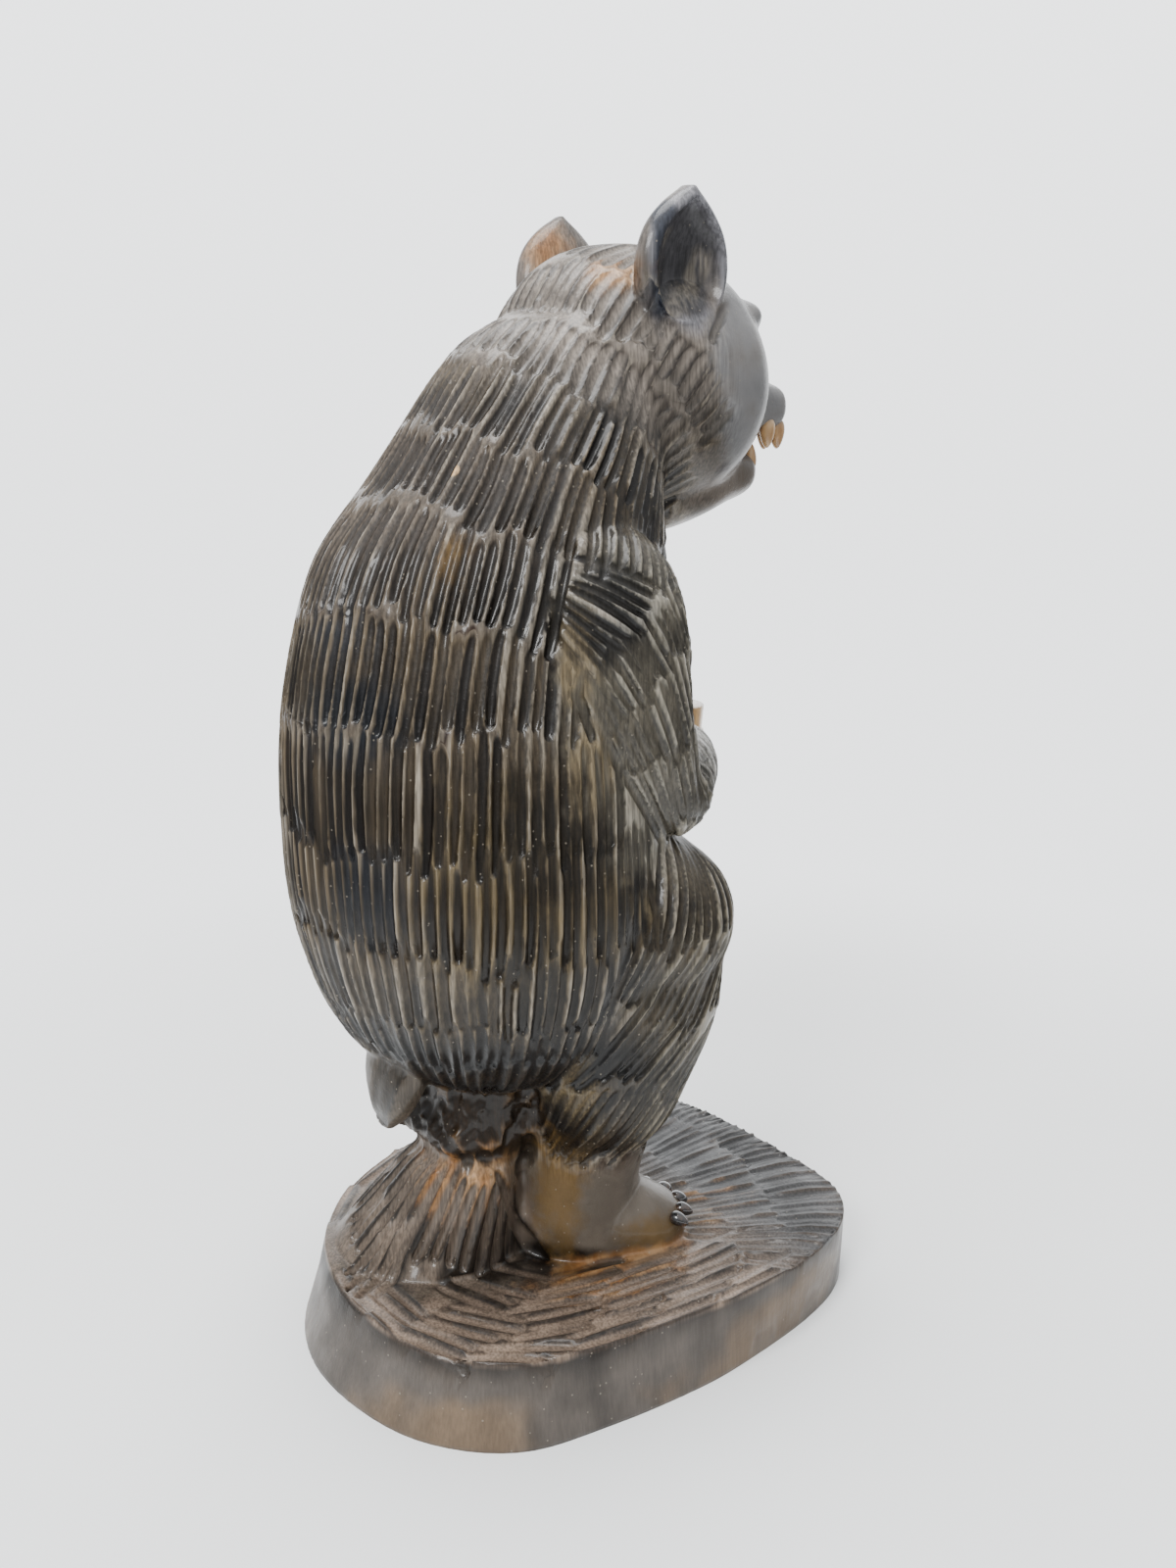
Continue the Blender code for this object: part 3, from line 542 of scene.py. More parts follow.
def body_forms():
    """The big forms that flow into one another, each with its name."""
    forms = [
        ("torso", loft(TORSO, X_AXIS, facing=Z_AXIS)),
        ("head", loft(HEAD, X_AXIS, facing=Y_AXIS)),
        ("face", loft(MUZZLE, X_AXIS, facing=Y_AXIS, squareness=MUZZLE_SQUARE)),
        ("face", loft(JAW, X_AXIS, facing=Y_AXIS, squareness=JAW_SQUARE)),
        ("face", loft(NOSE_BRIDGE, X_AXIS, facing=Y_AXIS)),
        ("lump", loft(LUMP, X_AXIS, facing=Z_AXIS, squareness=LUMP_SQUARE)),
        ("mound", loft(MOUND, X_AXIS, facing=Z_AXIS)),
    ]
    for mirrored, side in SIDES:
        brow_x = BROW_CENTRE[0] if mirrored else -BROW_CENTRE[0]
        forms.append(("face", ball((brow_x, BROW_CENTRE[1], BROW_CENTRE[2]), BROW_HALF)))
        forms.append((side + " arm", loft(UPPER_ARM[:SHOULDER_ROWS], X_AXIS, mirrored=mirrored)))
        forms.append((side + " leg", loft(THIGH, X_AXIS, mirrored=mirrored)))
        forms.append((side + " leg", loft(SHIN, X_AXIS, mirrored=mirrored)))
        forms.append((side + " foot", loft(FOOT, X_AXIS, mirrored=mirrored)))
    return forms


def arm_forms():
    """The arms, which meet the body in a crisp crease."""
    forms = []
    for mirrored, side in SIDES:
        forms.append((side + " arm", loft(UPPER_ARM, X_AXIS, mirrored=mirrored)))
        forms.append((side + " forearm", loft(FOREARM, Z_AXIS, mirrored=mirrored)))
    return forms


def mesh_object(name, body):
    """A bmesh as an object of the scene."""
    mesh = bpy.data.meshes.new(name)
    body.to_mesh(mesh)
    body.free()
    made = bpy.data.objects.new(name, mesh)
    bpy.context.scene.collection.objects.link(made)
    return made


def settle(thing):
    """Turn an object's modifiers into its mesh."""
    bpy.context.view_layer.update()
    graph = bpy.context.evaluated_depsgraph_get()
    mesh = bpy.data.meshes.new_from_object(thing.evaluated_get(graph))
    old = thing.data
    thing.modifiers.clear()
    thing.data = mesh
    bpy.data.meshes.remove(old)


def soften(thing, rounds):
    """A modifier that rounds off the sharpest edges."""
    smoothing = thing.modifiers.new("soften", "SMOOTH")
    smoothing.factor = SMOOTHING
    smoothing.iterations = rounds


def lift_mesh(thing):
    """An object's mesh on its own, with the object dropped."""
    body = bmesh.new()
    body.from_mesh(thing.data)
    bpy.data.objects.remove(thing, do_unlink=True)
    return body


def fuse(name, forms, voxel, rounds):
    """One closed skin round all the forms, with soft joins."""
    whole = bmesh.new()
    for _, body in forms:
        mesh = bpy.data.meshes.new("form")
        body.to_mesh(mesh)
        whole.from_mesh(mesh)
        bpy.data.meshes.remove(mesh)
    made = mesh_object(name, whole)
    remesh = made.modifiers.new("skin", "REMESH")
    remesh.mode = "VOXEL"
    remesh.voxel_size = voxel
    soften(made, rounds)
    settle(made)
    return made


def subtract(thing, cutter):
    """Cut one object out of another, and drop the cutter."""
    gap = thing.modifiers.new("cut", "BOOLEAN")
    gap.operation = "DIFFERENCE"
    gap.solver = "EXACT"
    gap.object = cutter
    settle(thing)
    bpy.data.objects.remove(cutter, do_unlink=True)


def ear_leaf(half_thick, half_wide, height):
    """A leaf that stands on its stem, with a pointed top."""
    rings = []
    for share, width in smooth_through(EAR_OUTLINE, LOFT_STEPS):
        centre = Z_AXIS * (share - 0.5) * height
        thick = half_thick * (EAR_EDGE_SHARE + (1 - EAR_EDGE_SHARE) * width)
        rings.append(ring_points(centre, X_AXIS, Y_AXIS, thick, half_wide * width))
    return skin(rings)


def ear(mirrored):
    """A hollow ear whose cup looks outward and a little forward."""
    shell = mesh_object("ear shell", ear_leaf(EAR_THICK / 2, EAR_WIDTH / 2, EAR_HEIGHT))
    cup = ear_leaf(EAR_THICK * CUP_THICK_SHARE, EAR_WIDTH / 2 - EAR_WALL, EAR_HEIGHT - 2 * EAR_WALL)
    bmesh.ops.translate(cup, verts=cup.verts, vec=X_AXIS * EAR_THICK * CUP_OUT_SHARE)
    subtract(shell, mesh_object("ear cup", cup))
    body = lift_mesh(shell)
    side = 1 if mirrored else -1
    centre = place(*(LEFT_EAR if mirrored else RIGHT_EAR))
    lean_cos, lean_sin = math.cos(EAR_LEAN), math.sin(EAR_LEAN)
    turn_cos, turn_sin = math.cos(EAR_TURN), math.sin(EAR_TURN)
    for vertex in body.verts:
        x, y, z = vertex.co
        x, z = x * lean_cos + z * lean_sin, z * lean_cos - x * lean_sin
        x, y = x * turn_cos + y * turn_sin, y * turn_cos - x * turn_sin
        vertex.co = centre + Vector((x * side, y, z))
    if not mirrored:
        bmesh.ops.reverse_faces(body, faces=body.faces)
    return body


def plinth_outline(splay=0.0):
    """The closed outline of the plinth's top, or of a level below it where the walls have splayed."""
    count = len(PLINTH_OUTLINE)
    rows = smooth_through(PLINTH_OUTLINE[-1:] + PLINTH_OUTLINE + PLINTH_OUTLINE[:2], LOFT_STEPS)
    outline = []
    for x, y, share in rows[LOFT_STEPS:(count + 1) * LOFT_STEPS]:
        rim = Vector((x * PLINTH_WIDTH / 2, y * PLINTH_LENGTH / 2, 0))
        outline.append(rim + rim.normalized() * splay * share)
    return outline


def plinth():
    """The plinth, its walls a little slanted and its top a little domed."""
    rings = []
    for rise, splay, share in PLINTH_WALL + PLINTH_TOP:
        centre = Vector((0, TOP_SHIFT_Y, PLINTH_THICK * rise))
        rings.append([point * share + centre for point in plinth_outline(splay * PLINTH_SPLAY)])
    return skin(rings)


def mouth_wedge():
    """The gap between the muzzle and the lower jaw."""
    wedge = bmesh.new()
    bmesh.ops.create_cube(wedge, size=1.0)
    for vertex in wedge.verts:
        y, low, high = MOUTH_FRONT if vertex.co.y < 0 else MOUTH_BACK
        vertex.co = place(MOUTH_WIDTH * vertex.co.x, y, high if vertex.co.z > 0 else low)
    return mesh_object("mouth gap", wedge)


def owners(forms):
    """A search tree of every form's points, and the form that each point belongs to."""
    points = []
    names = []
    for name, body in forms:
        for vertex in body.verts:
            points.append(vertex.co.copy())
            names.append(name)
    return search_tree(points), names


def search_tree(points):
    tree = KDTree(len(points))
    for index, point in enumerate(points):
        tree.insert(point, index)
    tree.balance()
    return tree


class Surface:
    """The uncarved form, with a way to find its skin and the form a place belongs to."""

    def __init__(self, thing, tree, names):
        graph = bpy.context.evaluated_depsgraph_get()
        self.tree = BVHTree.FromObject(thing, graph)
        self.owner_tree = tree
        self.names = names

    def owner(self, point):
        _, index, _ = self.owner_tree.find(point)
        return self.names[index]

    def outward(self, origin, direction):
        """Where a line from inside leaves the wood."""
        point, normal, _, _ = self.tree.ray_cast(origin, direction)
        if point is None or normal.dot(direction) <= 0:
            return None, None, None
        return point, normal, self.owner(point)


def make_stroke(point, normal, along, length, width, depth, bend=0.0, tone=PLAIN_TONE):
    """A stroke laid flat on the skin, or nothing where it would stand on end."""
    flat = along - normal * along.dot(normal)
    if flat.length < TINY:
        return None
    return Stroke(point, normal, flat.normalized(), length / 2, width / 2, depth, bend, tone)


def measured(path):
    """A smooth line through the path's points, and its length up to each of them."""
    line = [place(*point) for point in smooth_through(path, LINE_STEPS)]
    lengths = [0.0]
    for start, end in zip(line, line[1:]):
        lengths.append(lengths[-1] + (end - start).length)
    return line, lengths


def along_line(line, lengths, wanted):
    """The place and direction at a length along a line."""
    for index in range(len(line) - 1):
        if lengths[index + 1] >= wanted:
            share = (wanted - lengths[index]) / (lengths[index + 1] - lengths[index])
            return line[index].lerp(line[index + 1], share), (line[index + 1] - line[index]).normalized()
    return line[-1], (line[-1] - line[-2]).normalized()


def ring_walk(surface, centre, forward, pitch, dice):
    """Angles round a line whose places on the skin lie a stroke's pitch apart."""
    side = forward.orthogonal().normalized()
    up = forward.cross(side)
    walked = 0.0
    wanted = pitch * dice.random()
    last = None
    for index in range(RING_LOOKS):
        angle = 2 * math.pi * index / RING_LOOKS
        out = side * math.cos(angle) + up * math.sin(angle)
        point, _, _ = surface.outward(centre, out)
        if point is None:
            last = None
            continue
        if last is not None:
            walked += (point - last).length
        last = point
        if walked >= wanted:
            walked = 0.0
            wanted = pitch * dice.uniform(*PITCH_SPREAD)
            yield angle, out


def wave(shape, angle, step):
    """A wave round a row, from its swing, its number round the row and its shift with each step."""
    swing, count, shift = shape
    return swing * math.sin(count * angle + shift * step)


def rows_round(surface, path, edges, wanted, gouge, depth, dice, turns=(0,), droop=0.0, keep=None,
               ragged=ROW_RAGGED, pitch=STROKE_PITCH, reaches=STROKE_REACH):
    """Gouge strokes in rows round a path, each cut against the path's direction.

    A row lies between two edges, which are lengths along the path. The strokes turn from the path by
    degrees given row by row, and droop pulls them downward.
    """
    line, lengths = measured(path)

    def edge(number, angle):
        shift = wave(BROAD_WAVE, angle, number) + wave(FINE_WAVE, angle, number ** 2)
        return (edges[number] + ragged * shift) * UNIT

    def on_skin(height, out):
        inside, _ = along_line(line, lengths, min(max(height, 0), lengths[-1]))
        return surface.outward(inside, out)

    made = []
    for index in range(len(edges) - 1):
        step = (edges[index + 1] - edges[index]) * UNIT
        centre, forward = along_line(line, lengths, (edges[index] + edges[index + 1]) / 2 * UNIT)
        turn = math.radians(turns[min(index, len(turns) - 1)])
        for angle, out in ring_walk(surface, centre, forward, gouge * pitch, dice):
            low = edge(index, angle) + dice.uniform(-END_SPREAD, END_SPREAD) * step
            high = edge(index + 1, angle) + dice.uniform(-END_SPREAD, END_SPREAD) * step
            wide = gouge * dice.uniform(*WIDTH_SPREAD)
            deep = depth * dice.uniform(*DEPTH_SPREAD)
            bend = wave(BEND_WAVE, angle, index) + dice.uniform(-BEND_SPREAD, BEND_SPREAD)
            tone = dice.random()
            reach = dice.uniform(*reaches)
            point, normal, name = on_skin((low + high) / 2, out)
            if name not in wanted or (keep and not keep(point, name)):
                continue
            upper, _, _ = on_skin(high, out)
            lower, _, _ = on_skin(low, out)
            run = (lower or point) - (upper or point)
            long = min(max(run.length, SPAN_LIMITS[0] * step), SPAN_LIMITS[1] * step)
            way = run.normalized() if run.length > LEAST_SPAN * step else -forward
            way = way * math.cos(turn) + out.cross(forward) * math.sin(turn) - Z_AXIS * droop
            made.append(make_stroke(point, normal, way, long * reach, wide, deep, bend, tone))
    return [item for item in made if item]


def flipped(path):
    return tuple((-x, y, z) for x, y, z in path)


def on_shoulder(point, name):
    """True on the arm and on the outer side of the shoulder above it."""
    height = (point.z - PLINTH_THICK) / UNIT
    if height > SHOULDER_TOP or point.y > CREASE_Y * UNIT:
        return False
    return name.endswith("arm") or (height > SHOULDER_FOOT and abs(point.x) > SHOULDER_X * UNIT)


def on_back(point, name):
    """True on the trunk behind the face, beside the arms."""
    return point.y > FACE_EDGE * UNIT and not on_shoulder(point, name)


def above_ankle(point, name):
    """True above a line that rises from the front of the ankle to the heel."""
    behind = max(0, point.y / UNIT - ANKLE_FRONT)
    return point.z > PLINTH_THICK + (ANKLE + ANKLE_SLOPE * behind) * UNIT


def top_stroke(surface, spot, way, dice):
    """One stroke on the plinth's top, or nothing where something stands on it."""
    point, normal, name = surface.outward(spot, Z_AXIS)
    if name != "plinth":
        return None
    length = PLINTH_STROKE * dice.uniform(*COURSE_LENGTHS)
    width = PLINTH_GOUGE * dice.uniform(*COURSE_WIDTHS)
    depth = PLINTH_DEPTH * dice.uniform(*COURSE_DEPTHS)
    bend = dice.uniform(-COURSE_BEND, COURSE_BEND)
    return make_stroke(point, normal, way, length, width, depth, bend, dice.random())


def course_strokes(surface, middle, dice):
    """Courses of strokes that follow the plinth's rim, in bundles whose ends lie side by side."""
    outline = plinth_outline()
    made = []
    share = 1 - PLINTH_GOUGE / PLINTH_WIDTH
    course = 0
    while share > COURSE_END:
        if course % BUNDLE == 0:
            offset = dice.random()
            lean = dice.uniform(*COURSE_LEAN)
        course += 1
        ring = [point * share for point in outline]
        walked = offset * PLINTH_STROKE + dice.uniform(0, COURSE_STAGGER) * PLINTH_STROKE
        for start, end in zip(ring, ring[1:] + ring[:1]):
            walked += (end - start).length
            if walked < PLINTH_STROKE:
                continue
            walked -= PLINTH_STROKE
            if end.y > FAN_EDGE * UNIT:
                way = (end - start).normalized() + start.normalized() * lean
                made.append(top_stroke(surface, end + middle, way, dice))
        share -= PLINTH_GOUGE * COURSE_GAP / PLINTH_WIDTH
    return made


def fan_strokes(surface, middle, dice):
    """Rows of strokes that fan out in front of the feet."""
    centre = Vector((0, FAN_CENTRE * UNIT, 0))
    made = []
    radius = FAN_ROW * FAN_START
    while radius < PLINTH_LENGTH:
        angle = -FAN_SPREAD
        offset = dice.uniform(-FAN_STAGGER, FAN_STAGGER)
        while angle < FAN_SPREAD:
            angle += PLINTH_GOUGE * FAN_PITCH / radius
            out = Vector((math.sin(angle), -math.cos(angle), 0))
            shift = wave(FAN_WAVE, angle, radius) + offset
            spot = centre + out * (radius + shift * FAN_ROW)
            if spot.y <= FAN_EDGE * UNIT:
                made.append(top_stroke(surface, spot + middle, -out, dice))
        radius += FAN_ROW
    return made


def plinth_strokes(surface, dice):
    """Every stroke on the plinth's top, found by looking up from half its thickness."""
    middle = Vector((0, TOP_SHIFT_Y, PLINTH_THICK / 2))
    made = course_strokes(surface, middle, dice) + fan_strokes(surface, middle, dice)
    return [item for item in made if item]


def rough_strokes(surface, dice):
    """Short broad chisel cuts at odd angles on the lump under the rump."""
    made = []
    for _ in range(ROUGH_CUTS):
        angle = dice.uniform(0, 2 * math.pi)
        out = Vector((math.cos(angle), math.sin(angle), 0))
        point, normal, name = surface.outward(place(*LUMP_AXIS, dice.uniform(*LUMP_HEIGHTS)), out)
        if name != "lump":
            continue
        way = Z_AXIS + out.cross(Z_AXIS) * dice.uniform(-ROUGH_SLANT, ROUGH_SLANT)
        length = ROUGH_GOUGE * dice.uniform(*ROUGH_LENGTHS)
        depth = ROUGH_DEPTH * dice.uniform(*ROUGH_DEPTHS)
        made.append(make_stroke(point, normal, way, length, ROUGH_GOUGE, depth, 0.0, dice.random()))
    return [item for item in made if item]


def socket_strokes(surface):
    """A hollow under each brow that runs down toward the nose."""
    made = []
    for side in (-1, 1):
        inside = place(0, SOCKET_SEEN_FROM, RIGHT_EYE[2])
        toward = (place(-side * RIGHT_EYE[0], RIGHT_EYE[1], RIGHT_EYE[2]) - inside).normalized()
        point, normal, _ = surface.outward(inside, toward)
        if point is not None:
            way = Vector((side, 0, SOCKET_RISE))
            made.append(make_stroke(point, normal, way, SOCKET_LENGTH * UNIT, SOCKET_WIDTH * UNIT,
                                    SOCKET_DEPTH * UNIT))
    return made


def all_strokes(surface):
    """Every gouge stroke of the fur, the mound, the plinth's top and the lump."""
    dice = random.Random(SEED)
    made = []

    def rows(*shape, **settings):
        made.extend(rows_round(surface, *shape, dice, **settings))

    trunk = ("torso", "head", "right arm", "left arm")
    rows(SPINE, FUR_EDGES, trunk, FUR_GOUGE, FUR_DEPTH, keep=on_back)
    rows(SPINE, HEAD_EDGES, ("torso", "head"), HEAD_GOUGE, HEAD_DEPTH, droop=NAPE_DROOP, keep=on_back,
         ragged=WIDE_RAGGED, reaches=HEAD_REACH)
    for mirrored, side in SIDES:
        leg = flipped(LEG_LINE) if mirrored else LEG_LINE
        arm = flipped(ARM_LINE) if mirrored else ARM_LINE
        paw = flipped(PAW_LINE) if mirrored else PAW_LINE
        turns = [-turn if mirrored else turn for turn in LEG_TURNS]
        rows(leg, LEG_EDGES, (side + " leg",), LEG_GOUGE, LEG_DEPTH, turns=turns, keep=above_ankle,
             ragged=WIDE_RAGGED)
        rows(arm, ARM_EDGES, (side + " arm",), ARM_GOUGE, ARM_DEPTH)
        rows(arm, SHOULDER_EDGES, (side + " arm", "torso"), SHOULDER_GOUGE, SHOULDER_DEPTH,
             keep=on_shoulder)
        rows(paw, PAW_EDGES, (side + " forearm",), PAW_GOUGE, PAW_DEPTH)
    rows(HILL_LINE, HILL_EDGES, ("mound",), MOUND_GOUGE, MOUND_DEPTH, pitch=MOUND_PITCH)
    rows(TAIL_LINE, TAIL_EDGES, ("tail",), TAIL_GOUGE, TAIL_DEPTH)
    made += plinth_strokes(surface, dice)
    made += rough_strokes(surface, dice)
    return made


def vertex_arrays(mesh):
    """The places and normals of a mesh's points."""
    count = len(mesh.vertices)
    places = np.empty(count * 3)
    normals = np.empty(count * 3)
    mesh.vertices.foreach_get("co", places)
    mesh.vertices.foreach_get("normal", normals)
    return places.reshape(-1, 3), normals.reshape(-1, 3)


def groove(stroke, offset, normals):
    """How deep a stroke cuts at each place, then the shares along and across it where the place lies.

    A stroke runs in gently and ends in a rounder wall, and is narrower toward both ends.
    """
    across = stroke.normal.cross(stroke.along)
    run = offset @ np.array(stroke.along)
    share = run / stroke.half_length
    half = stroke.half_width * (1 - STROKE_TAPER * share ** 4)
    wide = (offset @ np.array(across)) / half - stroke.bend * (1 - share ** 2)
    lift = np.abs(offset @ np.array(stroke.normal))
    start_run = STROKE_START * stroke.half_width
    finish_run = STROKE_FINISH * stroke.half_width
    start = np.maximum(0, start_run - run - stroke.half_length) / start_run
    finish = np.maximum(0, finish_run + run - stroke.half_length) / finish_run
    inside = np.clip(1 - wide ** 2 - start ** 2 - finish ** 2, 0, 1)
    facing = normals @ np.array(stroke.normal)
    reach = LIFT_DEPTHS * stroke.depth + LIFT_SHARE * stroke.half_length
    inside[(facing < LEAST_FACING) | (lift > reach)] = 0
    fade = 1 + STROKE_FALL * (np.clip(share, -1, 1) - 1)
    return stroke.depth * inside ** STROKE_SECTION * fade, share, wide


def on_ears(places):
    """True where a place belongs to an ear, which keeps its smooth skin."""
    found = np.zeros(len(places), bool)
    for centre in (RIGHT_EAR, LEFT_EAR):
        middle = np.array(place(centre[0], centre[1], centre[2] + EAR_GUARD_LIFT))
        share = (places - middle) / (np.array(EAR_GUARD) * UNIT)
        found |= (share ** 2).sum(axis=1) < 1
    return found


def carve(thing, strokes):
    """Sink every stroke into the skin, and keep how deep and which stroke each point lies in."""
    mesh = thing.data
    places, normals = vertex_arrays(mesh)
    tree = search_tree(places)
    sunk = np.zeros(len(places))
    tone = np.full(len(places), PLAIN_TONE)
    run = np.zeros(len(places))
    across = np.zeros(len(places))
    ridge = np.zeros(len(places))
    for stroke in strokes:
        reach = math.hypot(stroke.half_length, stroke.half_width)
        near = np.array([index for _, index, _ in tree.find_range(stroke.point, reach)], dtype=int)
        if not len(near):
            continue
        offset = places[near] - np.array(stroke.point)
        cut, share, wide = groove(stroke, offset, normals[near])
        beside = np.clip((RIDGE_EDGE - np.abs(wide)) * RIDGE_FADE, 0, 1)
        within = np.clip((RIDGE_END - np.abs(share)) * RIDGE_END_FADE, 0, 1)
        ridge[near] = np.maximum(ridge[near], beside * within)
        wins = cut > sunk[near]
        won = near[wins]
        sunk[won] = cut[wins]
        tone[won] = stroke.tone
        run[won] = share[wins]
        across[won] = wide[wins]
    sunk[on_ears(places)] = 0
    places -= normals * sunk[:, None]
    mesh.vertices.foreach_set("co", places.reshape(-1))
    mesh.update()
    found = {"groove": np.clip(sunk / GROOVE_FULL, 0, 1), "tone": tone, "run": run, "across": across,
             "ridge": ridge}
    for name, values in found.items():
        layer = mesh.attributes.new(name, "FLOAT", "POINT")
        layer.data.foreach_set("value", values.astype(np.float32))


def flatten_underside(thing):
    """Set the lowest skin exactly on the ground."""
    mesh = thing.data
    places, _ = vertex_arrays(mesh)
    places[places[:, 2] < PLINTH_THICK * GROUND_SHARE, 2] = 0
    mesh.vertices.foreach_set("co", places.reshape(-1))
    mesh.update()


def keep_largest(thing):
    """Drop sealed hollows that lie wholly inside the wood."""
    body = bmesh.new()
    body.from_mesh(thing.data)
    seen = set()
    groups = []
    for start in body.verts:
        if start in seen:
            continue
        group = {start}
        stack = [start]
        while stack:
            for edge in stack.pop().link_edges:
                for other in edge.verts:
                    if other not in group:
                        group.add(other)
                        stack.append(other)
        seen |= group
        groups.append(group)
    groups.sort(key=len)
    spare = [vertex for group in groups[:-1] for vertex in group]
    if spare:
        bmesh.ops.delete(body, geom=spare, context="VERTS")
    body.to_mesh(thing.data)
    body.free()


def thin_out(thing):
    """Fewer, larger facets where the skin is plain."""
    faces = len(thing.data.polygons) * 2
    if faces <= TRIANGLES:
        return
    fewer = thing.modifiers.new("fewer", "DECIMATE")
    fewer.ratio = TRIANGLES / faces
    fewer.use_collapse_triangulate = True
    settle(thing)


def shade_smooth(thing):
    thing.data.polygons.foreach_set("use_smooth", [True] * len(thing.data.polygons))
    thing.data.update()


def bear_carving():
    """The bear, its mound and its plinth as one gouged piece of wood."""
    forms = body_forms()
    arms = arm_forms()
    ears = [("ear", ear(mirrored)) for mirrored, _ in SIDES]
    tail = ("tail", loft(TAIL, X_AXIS))
    base = ("plinth", plinth())
    tree, names = owners(forms + arms + ears + [tail, base])
    bear = fuse("bear form", forms, FORM_VOXEL, FORM_ROUNDS)
    carve(bear, socket_strokes(Surface(bear, tree, names)))
    subtract(bear, mouth_wedge())
    keep_largest(bear)
    arm_skin = fuse("arm form", arms, FORM_VOXEL, ARM_ROUNDS)
    skins = [("bear", lift_mesh(bear)), ("arms", lift_mesh(arm_skin)), tail, base]
    carving = fuse("bear_carving", skins + ears, FINE_VOXEL, WHOLE_ROUNDS)
    carve(carving, all_strokes(Surface(carving, tree, names)))
    soften(carving, POLISH_ROUNDS)
    settle(carving)
    flatten_underside(carving)
    thin_out(carving)
    flatten_underside(carving)
    keep_largest(carving)
    shade_smooth(carving)
    return carving


def add_node(tree, kind, inputs=None, **settings):
    """A node with its settings; each input is a value, or an output to link from."""
    node = tree.nodes.new(kind)
    for key, value in settings.items():
        setattr(node, key, value)
    for key, value in (inputs or {}).items():
        socket = node.inputs[key]
        if isinstance(value, bpy.types.NodeSocket):
            tree.links.new(value, socket)
        else:
            socket.default_value = value
    return node


def compute(tree, operation, first, second=0.0, clamp=False):
    """One sum on two values."""
    node = add_node(tree, "ShaderNodeMath", {0: first, 1: second}, operation=operation, use_clamp=clamp)
    return node.outputs[0]


def times(tree, first, second):
    return compute(tree, "MULTIPLY", first, second)


def plus(tree, first, second):
    return compute(tree, "ADD", first, second)


def minus(tree, first, second, clamp=False):
    return compute(tree, "SUBTRACT", first, second, clamp)


def larger(tree, first, second):
    return compute(tree, "MAXIMUM", first, second)


def blend(tree, factor, first, second, mode="MIX"):
    """One colour over another."""
    inputs = {0: factor, 6: first, 7: second}
    node = add_node(tree, "ShaderNodeMix", inputs, data_type="RGBA", blend_type=mode)
    return node.outputs[2]


def between(tree, value, low, high, start=0.0, end=1.0):
    """A soft step from start to end while the value goes from low to high."""
    inputs = {"Value": value, "From Min": low, "From Max": high, "To Min": start, "To Max": end}
    node = add_node(tree, "ShaderNodeMapRange", inputs, interpolation_type="SMOOTHSTEP")
    return node.outputs["Result"]


def noise(tree, vector, scale, detail=3.0, roughness=0.5, distortion=0.0):
    """Cloudy values round a half."""
    inputs = {"Vector": vector, "Scale": scale, "Detail": detail, "Roughness": roughness,
              "Distortion": distortion}
    return add_node(tree, "ShaderNodeTexNoise", inputs).outputs["Fac"]


def streaks(tree, vector, scales, detail=3.0, distortion=0.0):
    """Cloudy values drawn out along the axes, from their fineness along each."""
    drawn = add_node(tree, "ShaderNodeMapping", {"Vector": vector, "Scale": scales}).outputs["Vector"]
    return noise(tree, drawn, 1.0, detail=detail, distortion=distortion)


def vector_sum(tree, operation, inputs):
    """One sum on vectors."""
    return add_node(tree, "ShaderNodeVectorMath", inputs, operation=operation).outputs


def axes(tree, vector):
    """A vector's X, Y and Z."""
    return add_node(tree, "ShaderNodeSeparateXYZ", {0: vector}).outputs


def bump(tree, height, strength, distance, under=None):
    """A normal that follows a height, over another normal where one is given."""
    inputs = {"Height": height, "Strength": strength, "Distance": distance}
    if under is not None:
        inputs["Normal"] = under
    return add_node(tree, "ShaderNodeBump", inputs).outputs["Normal"]


def attribute(tree, name):
    return add_node(tree, "ShaderNodeAttribute", attribute_name=name).outputs["Fac"]


def use_group(tree, group, inputs):
    """A group placed in a material with its own values."""
    return add_node(tree, "ShaderNodeGroup", inputs, node_tree=group).outputs


def new_group(name, inputs, outputs):
    """An empty shader group with its named sockets."""
    tree = bpy.data.node_groups.new(name, "ShaderNodeTree")
    for label, kind, value in inputs:
        socket = tree.interface.new_socket(label, in_out="INPUT", socket_type="NodeSocket" + kind)
        if value is not None:
            socket.default_value = value
    for label in outputs:
        tree.interface.new_socket(label, in_out="OUTPUT", socket_type="NodeSocketFloat")
    return tree, add_node(tree, "NodeGroupInput").outputs, add_node(tree, "NodeGroupOutput").inputs


# Wood grain: fineness along each axis, then the shares of streaks and fibres in its relief
GRAIN_STREAKS = (240, 240, 16)
GRAIN_FIBRES = (1500, 1500, 60)
STREAK_SHARE = 0.6
FIBRE_SHARE = 0.4


def wood_grain_group():
    """Upright grain: broad streaks, fine fibres, and a height for bump."""
    inputs = (("Vector", "Vector", None), ("Fineness", "Float", 1.0))
    tree, given, result = new_group("wood grain", inputs, ("Streak", "Fibre", "Height"))
    scaled = vector_sum(tree, "SCALE", {0: given["Vector"], "Scale": given["Fineness"]})[0]
    streak = streaks(tree, scaled, GRAIN_STREAKS, distortion=0.4)
    fibre = streaks(tree, scaled, GRAIN_FIBRES, detail=2)
    height = plus(tree, times(tree, streak, STREAK_SHARE), times(tree, fibre, FIBRE_SHARE))
    tree.links.new(streak, result["Streak"])
    tree.links.new(fibre, result["Fibre"])
    tree.links.new(height, result["Height"])
    return tree


# Ragged edge of a patch: the fineness of its cloud, and how far the cloud can push it
EDGE_CLOUD = 140
EDGE_PUSH = 4


